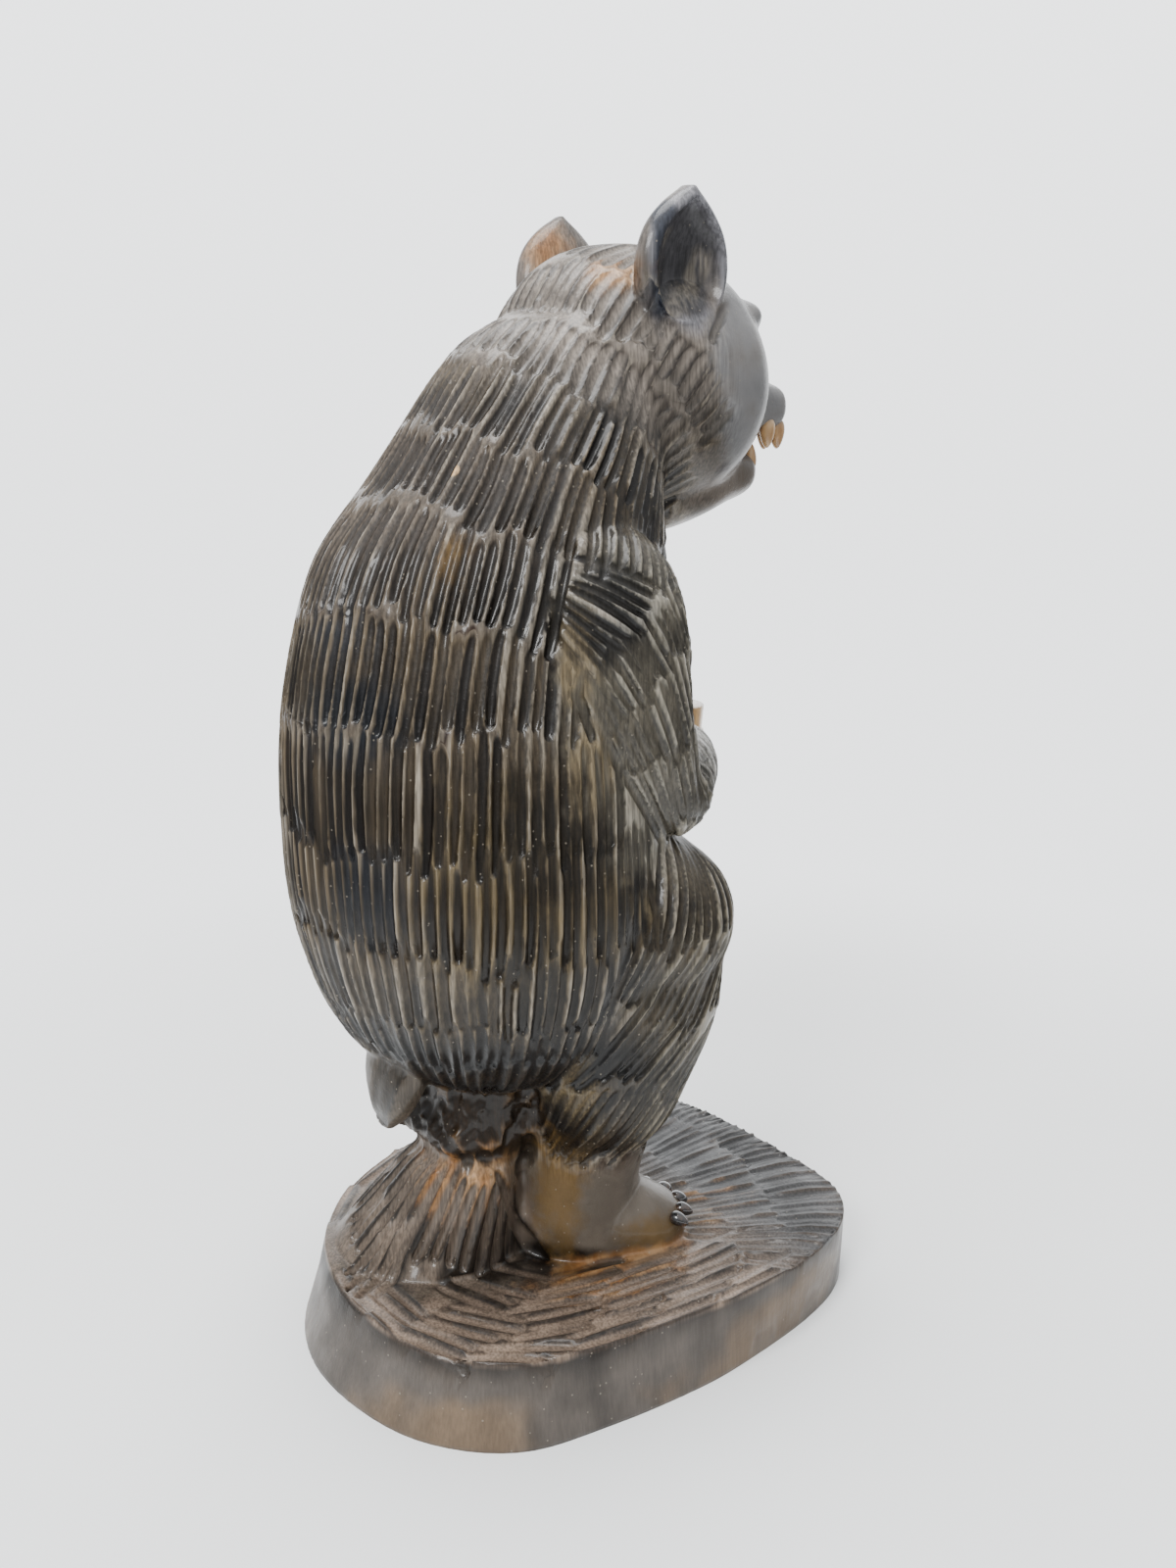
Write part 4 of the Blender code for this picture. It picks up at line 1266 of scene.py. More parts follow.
def patch_group():
    """A soft ragged patch round a place."""
    inputs = (
        ("Vector", "Vector", None),
        ("Centre", "Vector", (0, 0, 0)),
        ("Reach", "Vector", (0.02, 0.02, 0.02)),
        ("Raggedness", "Float", 0.35),
        ("Softness", "Float", 0.4),
    )
    tree, given, result = new_group("soft patch", inputs, ("Mask",))
    offset = vector_sum(tree, "SUBTRACT", {0: given["Vector"], 1: given["Centre"]})[0]
    share = vector_sum(tree, "DIVIDE", {0: offset, 1: given["Reach"]})[0]
    distance = vector_sum(tree, "LENGTH", {0: share})["Value"]
    cloud = minus(tree, noise(tree, given["Vector"], EDGE_CLOUD, detail=4, roughness=0.6), 0.5)
    ragged = times(tree, times(tree, cloud, EDGE_PUSH), given["Raggedness"])
    outer = plus(tree, 1.0, given["Softness"])
    inner = minus(tree, 1.0, given["Softness"])
    tree.links.new(between(tree, plus(tree, distance, ragged), outer, inner), result["Mask"])
    return tree


# Thick varnish: fineness of its waves, its orange peel, its specks and its dull places, the distance
# over which a speck falls off, and how high peel and specks stand beside the waves
VARNISH_WAVES = 260
ORANGE_PEEL = 1400
VARNISH_SPECKS = 900
DULL_PLACES = 90
SPECK_EDGE = (0.22, 0.05)
PEEL_HEIGHT = 0.18
SPECK_HEIGHT = 0.35


def varnish_group():
    """The small waves, runs and dust specks of thick varnish, as a height and a gloss."""
    inputs = (("Vector", "Vector", None), ("Specks", "Float", 0.5))
    tree, given, result = new_group("thick varnish", inputs, ("Height", "Dullness"))
    waves = noise(tree, given["Vector"], VARNISH_WAVES, detail=2)
    peel = noise(tree, given["Vector"], ORANGE_PEEL, detail=1)
    cells = add_node(tree, "ShaderNodeTexVoronoi", {"Vector": given["Vector"], "Scale": VARNISH_SPECKS})
    speck = times(tree, between(tree, cells.outputs["Distance"], *SPECK_EDGE), given["Specks"])
    height = plus(tree, waves, times(tree, peel, PEEL_HEIGHT))
    tree.links.new(plus(tree, height, times(tree, speck, SPECK_HEIGHT)), result["Height"])
    tree.links.new(noise(tree, given["Vector"], DULL_PLACES), result["Dullness"])
    return tree


# Dust: which share of its cells hold a speck, and how far a speck reaches in its cell
DUST_CHOICE = (0.66, 0.7)
DUST_EDGE = (0.16, 0.08)


def dust_group():
    """Sparse pale specks that sit in the varnish."""
    inputs = (("Vector", "Vector", None), ("Fineness", "Float", 520.0))
    tree, given, result = new_group("dust", inputs, ("Mask",))
    cells = add_node(tree, "ShaderNodeTexVoronoi", {"Vector": given["Vector"], "Scale": given["Fineness"]})
    chosen = between(tree, axes(tree, cells.outputs["Color"])["X"], *DUST_CHOICE)
    dot = between(tree, cells.outputs["Distance"], *DUST_EDGE)
    tree.links.new(times(tree, chosen, dot), result["Mask"])
    return tree


GRAIN = wood_grain_group()
DUST = dust_group()
PATCH = patch_group()
VARNISH = varnish_group()


def new_material(name, preview):
    """A Principled material's tree, its sockets and its object coordinates."""
    material = bpy.data.materials.new(name)
    material.use_nodes = True
    material.diffuse_color = preview
    tree = material.node_tree
    where = add_node(tree, "ShaderNodeTexCoord").outputs["Object"]
    return material, tree, tree.nodes["Principled BSDF"].inputs, where


# Colours of the finish, as linear light: the ridges first, then the grooves between them
# A pale for dust specks and for ridges rubbed pale, where it is also a painted highlight standing in for
# the varnish's sheen
PALE_DUST_AND_SHEEN = (0.255, 0.222, 0.175, 1)
RIDGE_GREY = (0.140, 0.122, 0.098, 1)
RIDGE_BROWN = (0.098, 0.075, 0.048, 1)
SKIN_BROWN = (0.072, 0.058, 0.044, 1)
GROOVE_LIGHT = (0.036, 0.027, 0.017, 1)
GROOVE_BROWN = (0.0065, 0.0046, 0.0032, 1)
# A dark blue in the grooves that stands in for the varnish reflecting the room: painted reflection over
# char
GROOVE_BLUE_SHEEN = (0.0080, 0.0090, 0.0115, 1)
HOLLOW_RED = (0.012, 0.0045, 0.0022, 1)
GOLDEN = (0.098, 0.058, 0.018, 1)
OLIVE = (0.118, 0.088, 0.046, 1)
RAW_ORANGE = (0.200, 0.088, 0.026, 1)
RAW_PALE = (0.300, 0.170, 0.075, 1)
CHIP_PALE = (0.50, 0.33, 0.17, 1)
TAN = (0.112, 0.077, 0.048, 1)
WALL_GREY = (0.068, 0.057, 0.048, 1)
TOP_BROWN = (0.150, 0.110, 0.082, 1)
TOP_GREY = (0.034, 0.033, 0.033, 1)
# On the plinth's top, the crown and the mound the strokes are painted as lit ropes: grooves pale as if
# lit, and each dark line colour here is painted shade along the ridges
TOP_SHADE_LINE = (0.036, 0.027, 0.021, 1)
HEAD_BROWN = (0.152, 0.130, 0.109, 1)
HEAD_SHADE_LINE = (0.044, 0.036, 0.030, 1)
MOUND_BROWN = (0.098, 0.075, 0.057, 1)
MOUND_SHADE_LINE = (0.015, 0.011, 0.008, 1)

# The left ear's finish lies this much further forward and higher than the right ear's
EAR_FORWARD = 3
EAR_HIGHER = 2

Patch = namedtuple("Patch", "spots ragged soft")
Region = namedtuple("Region", "patch ridge groove")


def both_sides(centre, reach):
    """A spot on the bear's right, and the same on its left."""
    x, y, z = centre
    return (centre, reach), ((-x, y, z), reach)


def on_both_ears(centre, reach):
    """A spot on the right ear, and the same on the left ear, which stands further forward and higher."""
    x, y, z = centre
    return (centre, reach), ((-x, y - EAR_FORWARD, z + EAR_HIGHER), reach)


# Where the finish changes: patches made of spots, each with its grid centre and its reach in grid
# units, then how ragged and how soft the patch's edges are
FOOT_SPOTS = both_sides((-21, -2, 10), (20, 32, 28))
MOUND_SPOTS = (((9, 36, 4), (33, 32, 34)),)
CHEEK_SPOTS = both_sides((-20, -50, 236), (30, 28, 28))
RAW_WOOD = Patch((
    ((-20, -4, 256), (7, 8, 6)),
    ((24, -14, 268), (4, 7, 8)),
    ((-10, 42, 27), (13, 12, 10)),
    ((-36, 6, -1), (12, 22, 3)),
    ((-26, -32, 0), (10, 12, 4)),
), 0.4, 0.5)
GOLDEN_WOOD = Patch((
    ((-27, 20, 22), (9, 5, 18)),
    ((-40, -6, 5), (10, 14, 5)),
    ((-29, 50, 184), (3, 4, 9)),
), 0.5, 0.5)
OLIVE_WOOD = Patch((
    ((-48, 30, 104), (16, 20, 9)),
    ((-48, 27, 140), (7, 6, 14)),
    ((-36, 54, 110), (17, 12, 24)),
    ((-46, 29, 165), (5, 4, 14)),
    ((-34, 20, 60), (8, 8, 14)),
), 0.5, 0.5)
# Patches where the grooves take that dark blue: char under a painted blue reflection
CHAR_WITH_BLUE_SHEEN = Patch((
    ((-8, 72, 178), (14, 12, 13)),
    ((-16, 70, 152), (16, 12, 10)),
    ((-20, 68, 112), (12, 12, 12)),
), 0.35, 0.6)
CHIP = Patch((((-20, 45, 208), (1.9, 1.9, 1.9)),), 0.1, 0.15)
CROWN = Patch((((0, -14, 240), (44, 44, 32)),), 0.1, 0.2)
FACE = Patch(CHEEK_SPOTS, 0.1, 0.2)
# Painted shade in the eye sockets
EYE_SOCKET_SHADE = Patch(both_sides((-13, -55, 242), (7, 5, 6)), 0.1, 0.6)
# Painted shade where the heel meets the ground
HEEL_PAINTED_SHADE = Patch((((-27, 20, 1), (15, 12, 4)),), 0.2, 0.4)
MOUND_SKIN = Patch(MOUND_SPOTS, 0.1, 0.1)
STANDING = Patch(FOOT_SPOTS + MOUND_SPOTS, 0.0, 0.15)
SMOOTH_SKIN = Patch(FOOT_SPOTS + (((0, -50, 236), (42, 35, 36)),), 0.0, 0.15)

# Parts with colours of their own, painted shade among them: a patch, then the colours of its ridges and of
# its grooves
BACK_FINISH = Region(Patch((((0, 50, 201), (44, 38, 27)),), 0.25, 0.3),
                     (0.070, 0.055, 0.041, 1), (0.020, 0.015, 0.011, 1))
FLANK_FINISH = Region(Patch(both_sides((-50, 40, 112), (14, 20, 34)), 0.25, 0.3),
                      (0.082, 0.064, 0.040, 1), (0.013, 0.0095, 0.0055, 1))
ARM_FINISH = Region(Patch(both_sides((-48, 4, 155), (16, 28, 44)), 0.2, 0.2),
                    (0.175, 0.160, 0.128, 1), (0.064, 0.056, 0.042, 1))
PAW_FINISH = Region(Patch(both_sides((-30, -20, 130), (18, 15, 24)), 0.1, 0.2),
                    (0.310, 0.300, 0.275, 1), (0.170, 0.160, 0.140, 1))
SHOULDER_FINISH = Region(Patch(both_sides((-46, 22, 175), (14, 12, 12)), 0.2, 0.3),
                         (0.150, 0.140, 0.120, 1), (0.0110, 0.0096, 0.0078, 1))
LEG_FINISH = Region(Patch(both_sides((-38, -8, 76), (22, 26, 44)), 0.2, 0.2),
                    (0.130, 0.114, 0.084, 1), (0.040, 0.032, 0.021, 1))
CHEEK_FINISH = Region(Patch(CHEEK_SPOTS, 0.08, 0.15),
                      (0.165, 0.162, 0.162, 1), (0.110, 0.100, 0.090, 1))
JAW_FINISH = Region(Patch((((0, -46, 206), (24, 26, 9)),), 0.15, 0.2),
                    (0.105, 0.084, 0.066, 1), (0.050, 0.038, 0.028, 1))
EAR_FINISH = Region(Patch(on_both_ears((-27, -18.5, 259), (11, 17, 18)), 0.0, 0.1),
                    (0.115, 0.100, 0.088, 1), (0.070, 0.062, 0.058, 1))
RIM_FINISH = Region(Patch(on_both_ears((-35, -18.5, 259), (8, 18, 20)), 0.0, 0.1),
                    (0.150, 0.148, 0.160, 1), (0.110, 0.110, 0.122, 1))
# Painted shade between the back of the ear and its rim
EAR_SHADE = Region(Patch(on_both_ears((-31, -9.5, 259), (9, 3.2, 17)), 0.15, 0.3),
                   (0.018, 0.021, 0.030, 1), (0.010, 0.012, 0.020, 1))
# The inside of the ear's cup: painted shade, its grooves tinted blue as a painted reflection
CUP_PAINTED_SHADE = Region(Patch(on_both_ears((-28.5, -18, 258), (8.5, 10.8, 13)), 0.08, 0.1),
                    (0.044, 0.042, 0.045, 1), (0.0080, 0.0100, 0.0150, 1))
FOOT_FINISH = Region(Patch(FOOT_SPOTS, 0.1, 0.3),
                     (0.098, 0.081, 0.064, 1), (0.066, 0.052, 0.038, 1))
# The rump: charred, and darkened further as painted shade under the body
RUMP_CHAR_AND_SHADE = Region(Patch((((-6, 34, 60), (54, 46, 24)),), 0.15, 0.25),
                     (0.022, 0.018, 0.014, 1), (0.0024, 0.0022, 0.0022, 1))
TAIL_FINISH = Region(Patch((((-2, 55, 58), (13, 10, 19)),), 0.05, 0.1),
                     (0.052, 0.041, 0.030, 1), (0.020, 0.015, 0.010, 1))
# The lump under the rump: dark wood, and darkened further as painted shade
LUMP_CHAR_AND_SHADE = Region(Patch((((0, 30, 44), (27, 22, 19)),), 0.1, 0.12),
                     (0.048, 0.028, 0.012, 1), (0.0130, 0.0075, 0.0035, 1))

# The order in which they are painted, and the dark ones, charred and with painted shade under the body,
# that come after the worn ridges with their painted sheen
REGIONS = (
    BACK_FINISH, FLANK_FINISH, ARM_FINISH, PAW_FINISH, SHOULDER_FINISH, LEG_FINISH, CHEEK_FINISH,
    JAW_FINISH, EAR_FINISH, RIM_FINISH, EAR_SHADE, CUP_PAINTED_SHADE, FOOT_FINISH,
)
CHAR_AND_SHADE_REGIONS = (RUMP_CHAR_AND_SHADE, TAIL_FINISH, LUMP_CHAR_AND_SHADE)

# Fineness of the finish's own clouds
BROAD_CLOUD = 22
FINE_CLOUD = 75
BEAD_CLOUD = 500
WALL_STREAKS = (70, 70, 10)

# Soft steps: the value at which each starts and at which it is full. The first ones read how deep the
# wood is cut, the next ones the clouds and streaks, the last ones a place in metres.
# The grooves darken with depth: char left in the cuts, and painted shade in the hollows
DUG = (0.08, 0.62)
BARE = (0.10, 0.0)
# On the ropes, a ridge shallower than this takes the painted shade line, and deeper cuts take the pale of
# painted light
ROPE_LIGHT = (0.12, 0.6)
GOLDEN_FADE = (1.2, 0.4)
OLIVE_FADE = (1.0, 0.3)
RAW_FADE = (0.8, 0.2)
BROWN_RIDGES = (0.42, 0.62)
LIGHT_GROOVES = (0.2, 0.95)
RED_HOLLOWS = (0.5, 0.56)
WORN_SHEEN_STREAKS = (0.4, 0.6)
PALE_STREAKS = (0.35, 0.65)
GREY_WALL = (0.38, 0.54)
BEAD_RUN = (0.55, 0.85)
WALL_EDGE = (PLINTH_THICK * 0.93, PLINTH_THICK * 0.86)
GROUND = (PLINTH_THICK + 0.006, PLINTH_THICK + 0.002)
GREY_FRONT = (-0.014, -0.046)
TAN_FOOT = (0.000, 0.011)
SCORCHED_RIM = (0.013, 0.024)

# Soft steps that also say what they give at their start and when full
FACE_STAIN = (0.45, 0.7, 0.0, 0.5)
WALL_STAIN = (0.5, 0.75, 0.0, 0.6)
FIBRE_SHADE = (-0.2, 0.2, 0.66, 1.28)
# Painted shade: on one wall of each stroke, and along it darker toward its deeper end
ACROSS_SHADE = (0.1, 0.95, 1.15, 0.4)
RUN_SHADE = (-0.9, 0.7, 1.2, 0.75)
MOTTLE_SHADE = (0.35, 0.65, 0.84, 1.18)
VARNISH_DULL = (0.35, 0.65, 0.36, 0.55)

# How strong each effect is
WALL_SMOOTHNESS = 0.75
STAIN_IN_GROOVES = 0.4
WORN_SHEEN_STRENGTH = 0.6
EYE_SHADE_STRENGTH = 0.7
WOOD_STRENGTH = 0.8
RAW_STRENGTH = 0.75
DUST_STRENGTH = 0.5
WALL_SWAY = 0.07
RIM_SWAY = 0.4
BEAD_HEIGHT = 1.2
BEAD_GLOSS = 0.3


class WoodFinish:
    """The finish of the carving, laid on coat by coat, with painted light and shade among its coats."""

    def __init__(self, tree, where):
        self.tree = tree
        self.where = where
        self.depth = attribute(tree, "groove")
        self.crest = attribute(tree, "ridge")
        self.run = attribute(tree, "run")
        self.grain = use_group(tree, GRAIN, {"Vector": where})
        self.cloud = noise(tree, where, BROAD_CLOUD)
        self.fine_cloud = noise(tree, where, FINE_CLOUD)
        self.at = axes(tree, where)
        self.wall = between(tree, self.at["Z"], *WALL_EDGE)
        smooth = larger(tree, self.mask(SMOOTH_SKIN), times(tree, self.wall, WALL_SMOOTHNESS))
        self.rough = minus(tree, 1.0, smooth)
        stain = times(tree, minus(tree, self.grain["Streak"], 0.5), self.rough)
        self.inside = plus(tree, self.depth, times(tree, stain, STAIN_IN_GROOVES))
        self.dug = between(tree, self.inside, *DUG)
        self.bare = between(tree, self.depth, *BARE)
        self.skin = minus(tree, 1.0, self.crest)
        self.rope_light = larger(tree, between(tree, self.depth, *ROPE_LIGHT), self.skin)
        self.colour = self.scorched()

    def mask(self, patch):
        """The union of a patch's soft spots."""
        total = None
        for centre, reach in patch.spots:
            inputs = {"Vector": self.where, "Centre": place(*centre), "Reach": Vector(reach) * UNIT,
                      "Raggedness": patch.ragged, "Softness": patch.soft}
            spot = use_group(self.tree, PATCH, inputs)["Mask"]
            total = spot if total is None else larger(self.tree, total, spot)
        return total

    def coat(self, mask, paint, strength=None):
        """Lay a colour over what is there, where the mask says."""
        if strength is not None:
            mask = times(self.tree, mask, strength)
        self.colour = blend(self.tree, mask, self.colour, paint)

    def streaked(self, limits):
        return between(self.tree, self.grain["Streak"], *limits)

    def scorched(self):
        """Brushed ridges between grooves that darken with depth, as char and as painted shade, with
        blue-black patches that are char under a painted blue reflection.
        """
        tree = self.tree
        brushed = blend(tree, between(tree, self.cloud, *BROWN_RIDGES), RIDGE_GREY, RIDGE_BROWN)
        ridge = blend(tree, self.crest, SKIN_BROWN, brushed)
        tone = between(tree, attribute(tree, "tone"), *LIGHT_GROOVES)
        dark = blend(tree, tone, GROOVE_BROWN, GROOVE_LIGHT)
        dark = blend(tree, self.mask(CHAR_WITH_BLUE_SHEEN), dark, GROOVE_BLUE_SHEEN)
        return blend(tree, self.dug, ridge, dark)

    def redden(self):
        """Clouds of red-brown on the uncut skin between the strokes."""
        hollow = times(self.tree, times(self.tree, self.bare, self.skin),
                       between(self.tree, self.fine_cloud, *RED_HOLLOWS))
        self.coat(hollow, HOLLOW_RED)

    def rope_shading(self, patch, ridge, line):
        """Painted light and shade that make strokes read as ropes: pale grooves and skin as if lit, with a
        painted shade line along each ridge.
        """
        self.coat(self.mask(patch), blend(self.tree, self.rope_light, line, ridge))

    def paint(self, regions):
        """The colours of each part that has its own, painted shade among them."""
        for region in regions:
            self.coat(self.mask(region.patch), blend(self.tree, self.dug, region.ridge, region.groove))

    def wear(self):
        """Ridges rubbed pale along the grain, the pale partly a painted highlight standing in for the
        varnish's sheen.
        """
        tree = self.tree
        worn = times(tree, times(tree, self.bare, self.crest), self.streaked(WORN_SHEEN_STREAKS))
        self.coat(times(tree, worn, self.rough), PALE_DUST_AND_SHEEN, WORN_SHEEN_STRENGTH)

    def shade_face(self):
        """Brown stains on the face, and painted shade in the sockets round the eyes."""
        stain = between(self.tree, self.fine_cloud, *FACE_STAIN)
        self.coat(times(self.tree, self.mask(FACE), stain), SKIN_BROWN)
        self.coat(self.mask(EYE_SOCKET_SHADE), GROOVE_BROWN, EYE_SHADE_STRENGTH)

    def tint(self, patch, paint, fade):
        """A colour that shows on the ridges and fades in the grooves."""
        shown = between(self.tree, self.inside, *fade)
        self.coat(times(self.tree, self.mask(patch), shown), paint, WOOD_STRENGTH)

    def cover_ground(self):
        """The plinth's top, greyer toward its front, its strokes painted as lit ropes with painted shade
        along their ridges.
        """
        tree = self.tree
        top = blend(tree, between(tree, self.at["Y"], *GREY_FRONT), TOP_BROWN, TOP_GREY)
        free = minus(tree, 1.0, self.mask(STANDING))
        ground = times(tree, between(tree, self.at["Z"], *GROUND), free)
        self.coat(ground, blend(tree, self.rope_light, TOP_SHADE_LINE, top))

    def bare_wood(self):
        """Raw orange wood that the scorching missed."""
        raw = times(self.tree, self.mask(RAW_WOOD), between(self.tree, self.depth, *RAW_FADE))
        self.coat(raw, blend(self.tree, self.streaked(PALE_STREAKS), RAW_ORANGE, RAW_PALE), RAW_STRENGTH)

    def stain_wall(self):
        """The plinth's wall: tan below, grey in clouds, scorched under the rim and down its streaks."""
        tree = self.tree
        sway = times(tree, minus(tree, self.cloud, 0.5), WALL_SWAY)
        low = plus(tree, self.at["Z"], sway)
        rim = plus(tree, self.at["Z"], times(tree, sway, RIM_SWAY))
        wall = blend(tree, between(tree, low, *TAN_FOOT), TAN, WALL_GREY)
        wall = blend(tree, between(tree, self.cloud, *GREY_WALL), wall, WALL_GREY)
        wall = blend(tree, between(tree, rim, *SCORCHED_RIM), wall, GROOVE_BROWN)
        streak = streaks(tree, self.where, WALL_STREAKS)
        wall = blend(tree, between(tree, streak, *WALL_STAIN), wall, GROOVE_BROWN)
        self.coat(self.wall, wall)

    def shade(self):
        """Light and dark by the fibres and in mottles, and painted shade across each stroke on one wall
        and along it toward its deeper end.
        """
        tree = self.tree
        fibre = times(tree, minus(tree, self.grain["Fibre"], 0.5), self.rough)
        shades = (
            (fibre, FIBRE_SHADE),
            (attribute(tree, "across"), ACROSS_SHADE),
            (self.run, RUN_SHADE),
            (self.fine_cloud, MOTTLE_SHADE),
        )
        for value, limits in shades:
            share = between(tree, value, *limits)
            grey = add_node(tree, "ShaderNodeCombineXYZ", {0: share, 1: share, 2: share}).outputs[0]
            self.colour = blend(tree, 1.0, self.colour, grey, "MULTIPLY")

    def dust(self):
        """Pale specks in the varnish."""
        self.coat(use_group(self.tree, DUST, {"Vector": self.where})["Mask"], PALE_DUST_AND_SHEEN, DUST_STRENGTH)

    def varnish(self, sockets):
        """Thick varnish that runs together in glossy beads at the ends of the strokes."""
        tree = self.tree
        varnish = use_group(tree, VARNISH, {"Vector": self.where, "Specks": 0.6})
        beads = noise(tree, self.where, BEAD_CLOUD, detail=1)
        bead = times(tree, between(tree, self.run, *BEAD_RUN), beads)
        dull = between(tree, varnish["Dullness"], *VARNISH_DULL)
        dull = minus(tree, dull, times(tree, bead, BEAD_GLOSS), clamp=True)
        tree.links.new(dull, sockets["Roughness"])
        fibres = bump(tree, self.grain["Height"], 0.3, 0.0004)
        relief = plus(tree, varnish["Height"], times(tree, bead, BEAD_HEIGHT))
        tree.links.new(bump(tree, relief, 0.5, 0.0004, fibres), sockets["Normal"])


def scorched_wood():
    """The body's finish: grooves dark with char and painted shade, brushed ridges with a painted sheen,
    coloured patches, painted shade in hollows and under the body, and thick varnish.
    """
    material, tree, sockets, where = new_material("scorched wood", (0.11, 0.075, 0.05, 1))
    finish = WoodFinish(tree, where)
    finish.redden()
    finish.rope_shading(CROWN, HEAD_BROWN, HEAD_SHADE_LINE)
    finish.paint(REGIONS)
    finish.wear()
    finish.paint(CHAR_AND_SHADE_REGIONS)
    finish.shade_face()
    finish.rope_shading(MOUND_SKIN, MOUND_BROWN, MOUND_SHADE_LINE)
    # painted shade at the heel, where foot, mound and plinth meet
    finish.coat(finish.mask(HEEL_PAINTED_SHADE), GROOVE_BROWN)
    finish.tint(GOLDEN_WOOD, GOLDEN, GOLDEN_FADE)
    finish.tint(OLIVE_WOOD, OLIVE, OLIVE_FADE)
    finish.cover_ground()
    finish.bare_wood()
    finish.stain_wall()
    finish.coat(finish.mask(CHIP), CHIP_PALE)
    finish.shade()
    finish.dust()
    tree.links.new(finish.colour, sockets["Base Color"])
    finish.varnish(sockets)
    sockets["Specular IOR Level"].default_value = 0.2
    sockets["Coat Weight"].default_value = 0.28
    sockets["Coat Roughness"].default_value = 0.14
    sockets["Coat IOR"].default_value = 1.5
    return material


# Unscorched wood: the fineness of its stains, the step from dark to light, and its gloss
RAW_STAINS = 260
RAW_LIGHT = (0.38, 0.62)
RAW_DULL = (0.3, 0.7, 0.30, 0.45)


def raw_wood(name, light, dark, fineness):
    """Unscorched wood under varnish."""
    material, tree, sockets, where = new_material(name, light)
    grain = use_group(tree, GRAIN, {"Vector": where, "Fineness": fineness})
    stain = times(tree, noise(tree, where, RAW_STAINS), FIBRE_SHARE)
    mix = plus(tree, times(tree, grain["Streak"], STREAK_SHARE), stain)
    tree.links.new(blend(tree, between(tree, mix, *RAW_LIGHT), dark, light), sockets["Base Color"])
    tree.links.new(between(tree, grain["Fibre"], *RAW_DULL), sockets["Roughness"])
    tree.links.new(bump(tree, grain["Height"], 0.4, 0.0003), sockets["Normal"])
    sockets["Coat Weight"].default_value = 0.8
    sockets["Coat Roughness"].default_value = 0.12
    return material


# Burnt black: the fineness of its wear, the step from black to brown, and its gloss
BLACK_WEAR = 420
BROWN_WEAR = (0.5, 0.72)
BLACK_DULL = (0.35, 0.65, 0.16, 0.3)


def black_lacquer(name, deep, worn):
    """Burnt black and varnished, with brown showing through in places."""
    material, tree, sockets, where = new_material(name, deep)
    wear = between(tree, noise(tree, where, BLACK_WEAR), *BROWN_WEAR)
    tree.links.new(blend(tree, wear, deep, worn), sockets["Base Color"])
    varnish = use_group(tree, VARNISH, {"Vector": where, "Specks": 0.2})
    tree.links.new(between(tree, varnish["Dullness"], *BLACK_DULL), sockets["Roughness"])
    tree.links.new(bump(tree, varnish["Height"], 0.3, 0.0003), sockets["Normal"])
    sockets["Coat Weight"].default_value = 1.0
    sockets["Coat Roughness"].default_value = 0.06
    return material


# A peg: the ball it is drawn from, how much of it is sunk in the wood, how pegs differ in size, how much
# a tooth and a claw narrow, and how far a claw hooks
PEG_BALL = {"Segments": 18, "Rings": 12, "Radius": 0.5}
PEG_SUNK = 0.3
PEG_SIZES = (0.9, 1.12)
TOOTH_TAPER = 0.45
CLAW_TAPER = 0.4
CLAW_HOOK = -0.12 * CLAW_LENGTH


def peg_shape(tree, given):
    """One peg round a point: a ball drawn out, narrower toward its end and hooked to one side."""
    at = axes(tree, add_node(tree, "GeometryNodeInputPosition").outputs[0])
    rise = plus(tree, at["Z"], PEG_BALL["Radius"])
    wide = times(tree, minus(tree, 1.0, times(tree, rise, given["Taper"])), given["Width"])
    hook = times(tree, times(tree, rise, rise), given["Hook"])
    x = times(tree, at["X"], wide)
    y = plus(tree, times(tree, at["Y"], wide), hook)
    z = times(tree, minus(tree, rise, PEG_SUNK), given["Length"])
    shape = add_node(tree, "ShaderNodeCombineXYZ", {0: x, 1: y, 2: z}).outputs[0]
    whole = add_node(tree, "GeometryNodeMeshUVSphere", PEG_BALL).outputs["Mesh"]
    return add_node(tree, "GeometryNodeSetPosition", {"Geometry": whole, "Position": shape}).outputs[0]


def peg_tree(name):
    """A geometry tree that stands a peg on every point, aimed along the point's own direction."""
    tree = bpy.data.node_groups.new(name, "GeometryNodeTree")
    sizes = [(label, "Float") for label in ("Length", "Width", "Taper", "Hook")]
    for label, kind in [("Points", "Geometry")] + sizes + [("Material", "Material")]:
        tree.interface.new_socket(label, in_out="INPUT", socket_type="NodeSocket" + kind)
    tree.interface.new_socket("Pegs", in_out="OUTPUT", socket_type="NodeSocketGeometry")
    given = add_node(tree, "NodeGroupInput").outputs
    result = add_node(tree, "NodeGroupOutput")
    aim = add_node(tree, "GeometryNodeInputNamedAttribute", {"Name": "aim"}, data_type="FLOAT_VECTOR")
    turn = add_node(tree, "FunctionNodeAlignRotationToVector", {"Vector": aim.outputs[0]}, axis="Z")
    limits = {2: PEG_SIZES[0], 3: PEG_SIZES[1], "Seed": SEED}
    size = add_node(tree, "FunctionNodeRandomValue", limits, data_type="FLOAT")
    stand = add_node(tree, "GeometryNodeInstanceOnPoints", {
        "Points": given["Points"],
        "Instance": peg_shape(tree, given),
        "Rotation": turn.outputs[0],
        "Scale": size.outputs[1],
    })
    real = add_node(tree, "GeometryNodeRealizeInstances", {"Geometry": stand.outputs[0]})
    smooth = add_node(tree, "GeometryNodeSetShadeSmooth", {"Geometry": real.outputs[0]})
    finish = {"Geometry": smooth.outputs[0], "Material": given["Material"]}
    coloured = add_node(tree, "GeometryNodeSetMaterial", finish)
    tree.links.new(coloured.outputs[0], result.inputs["Pegs"])
    return tree


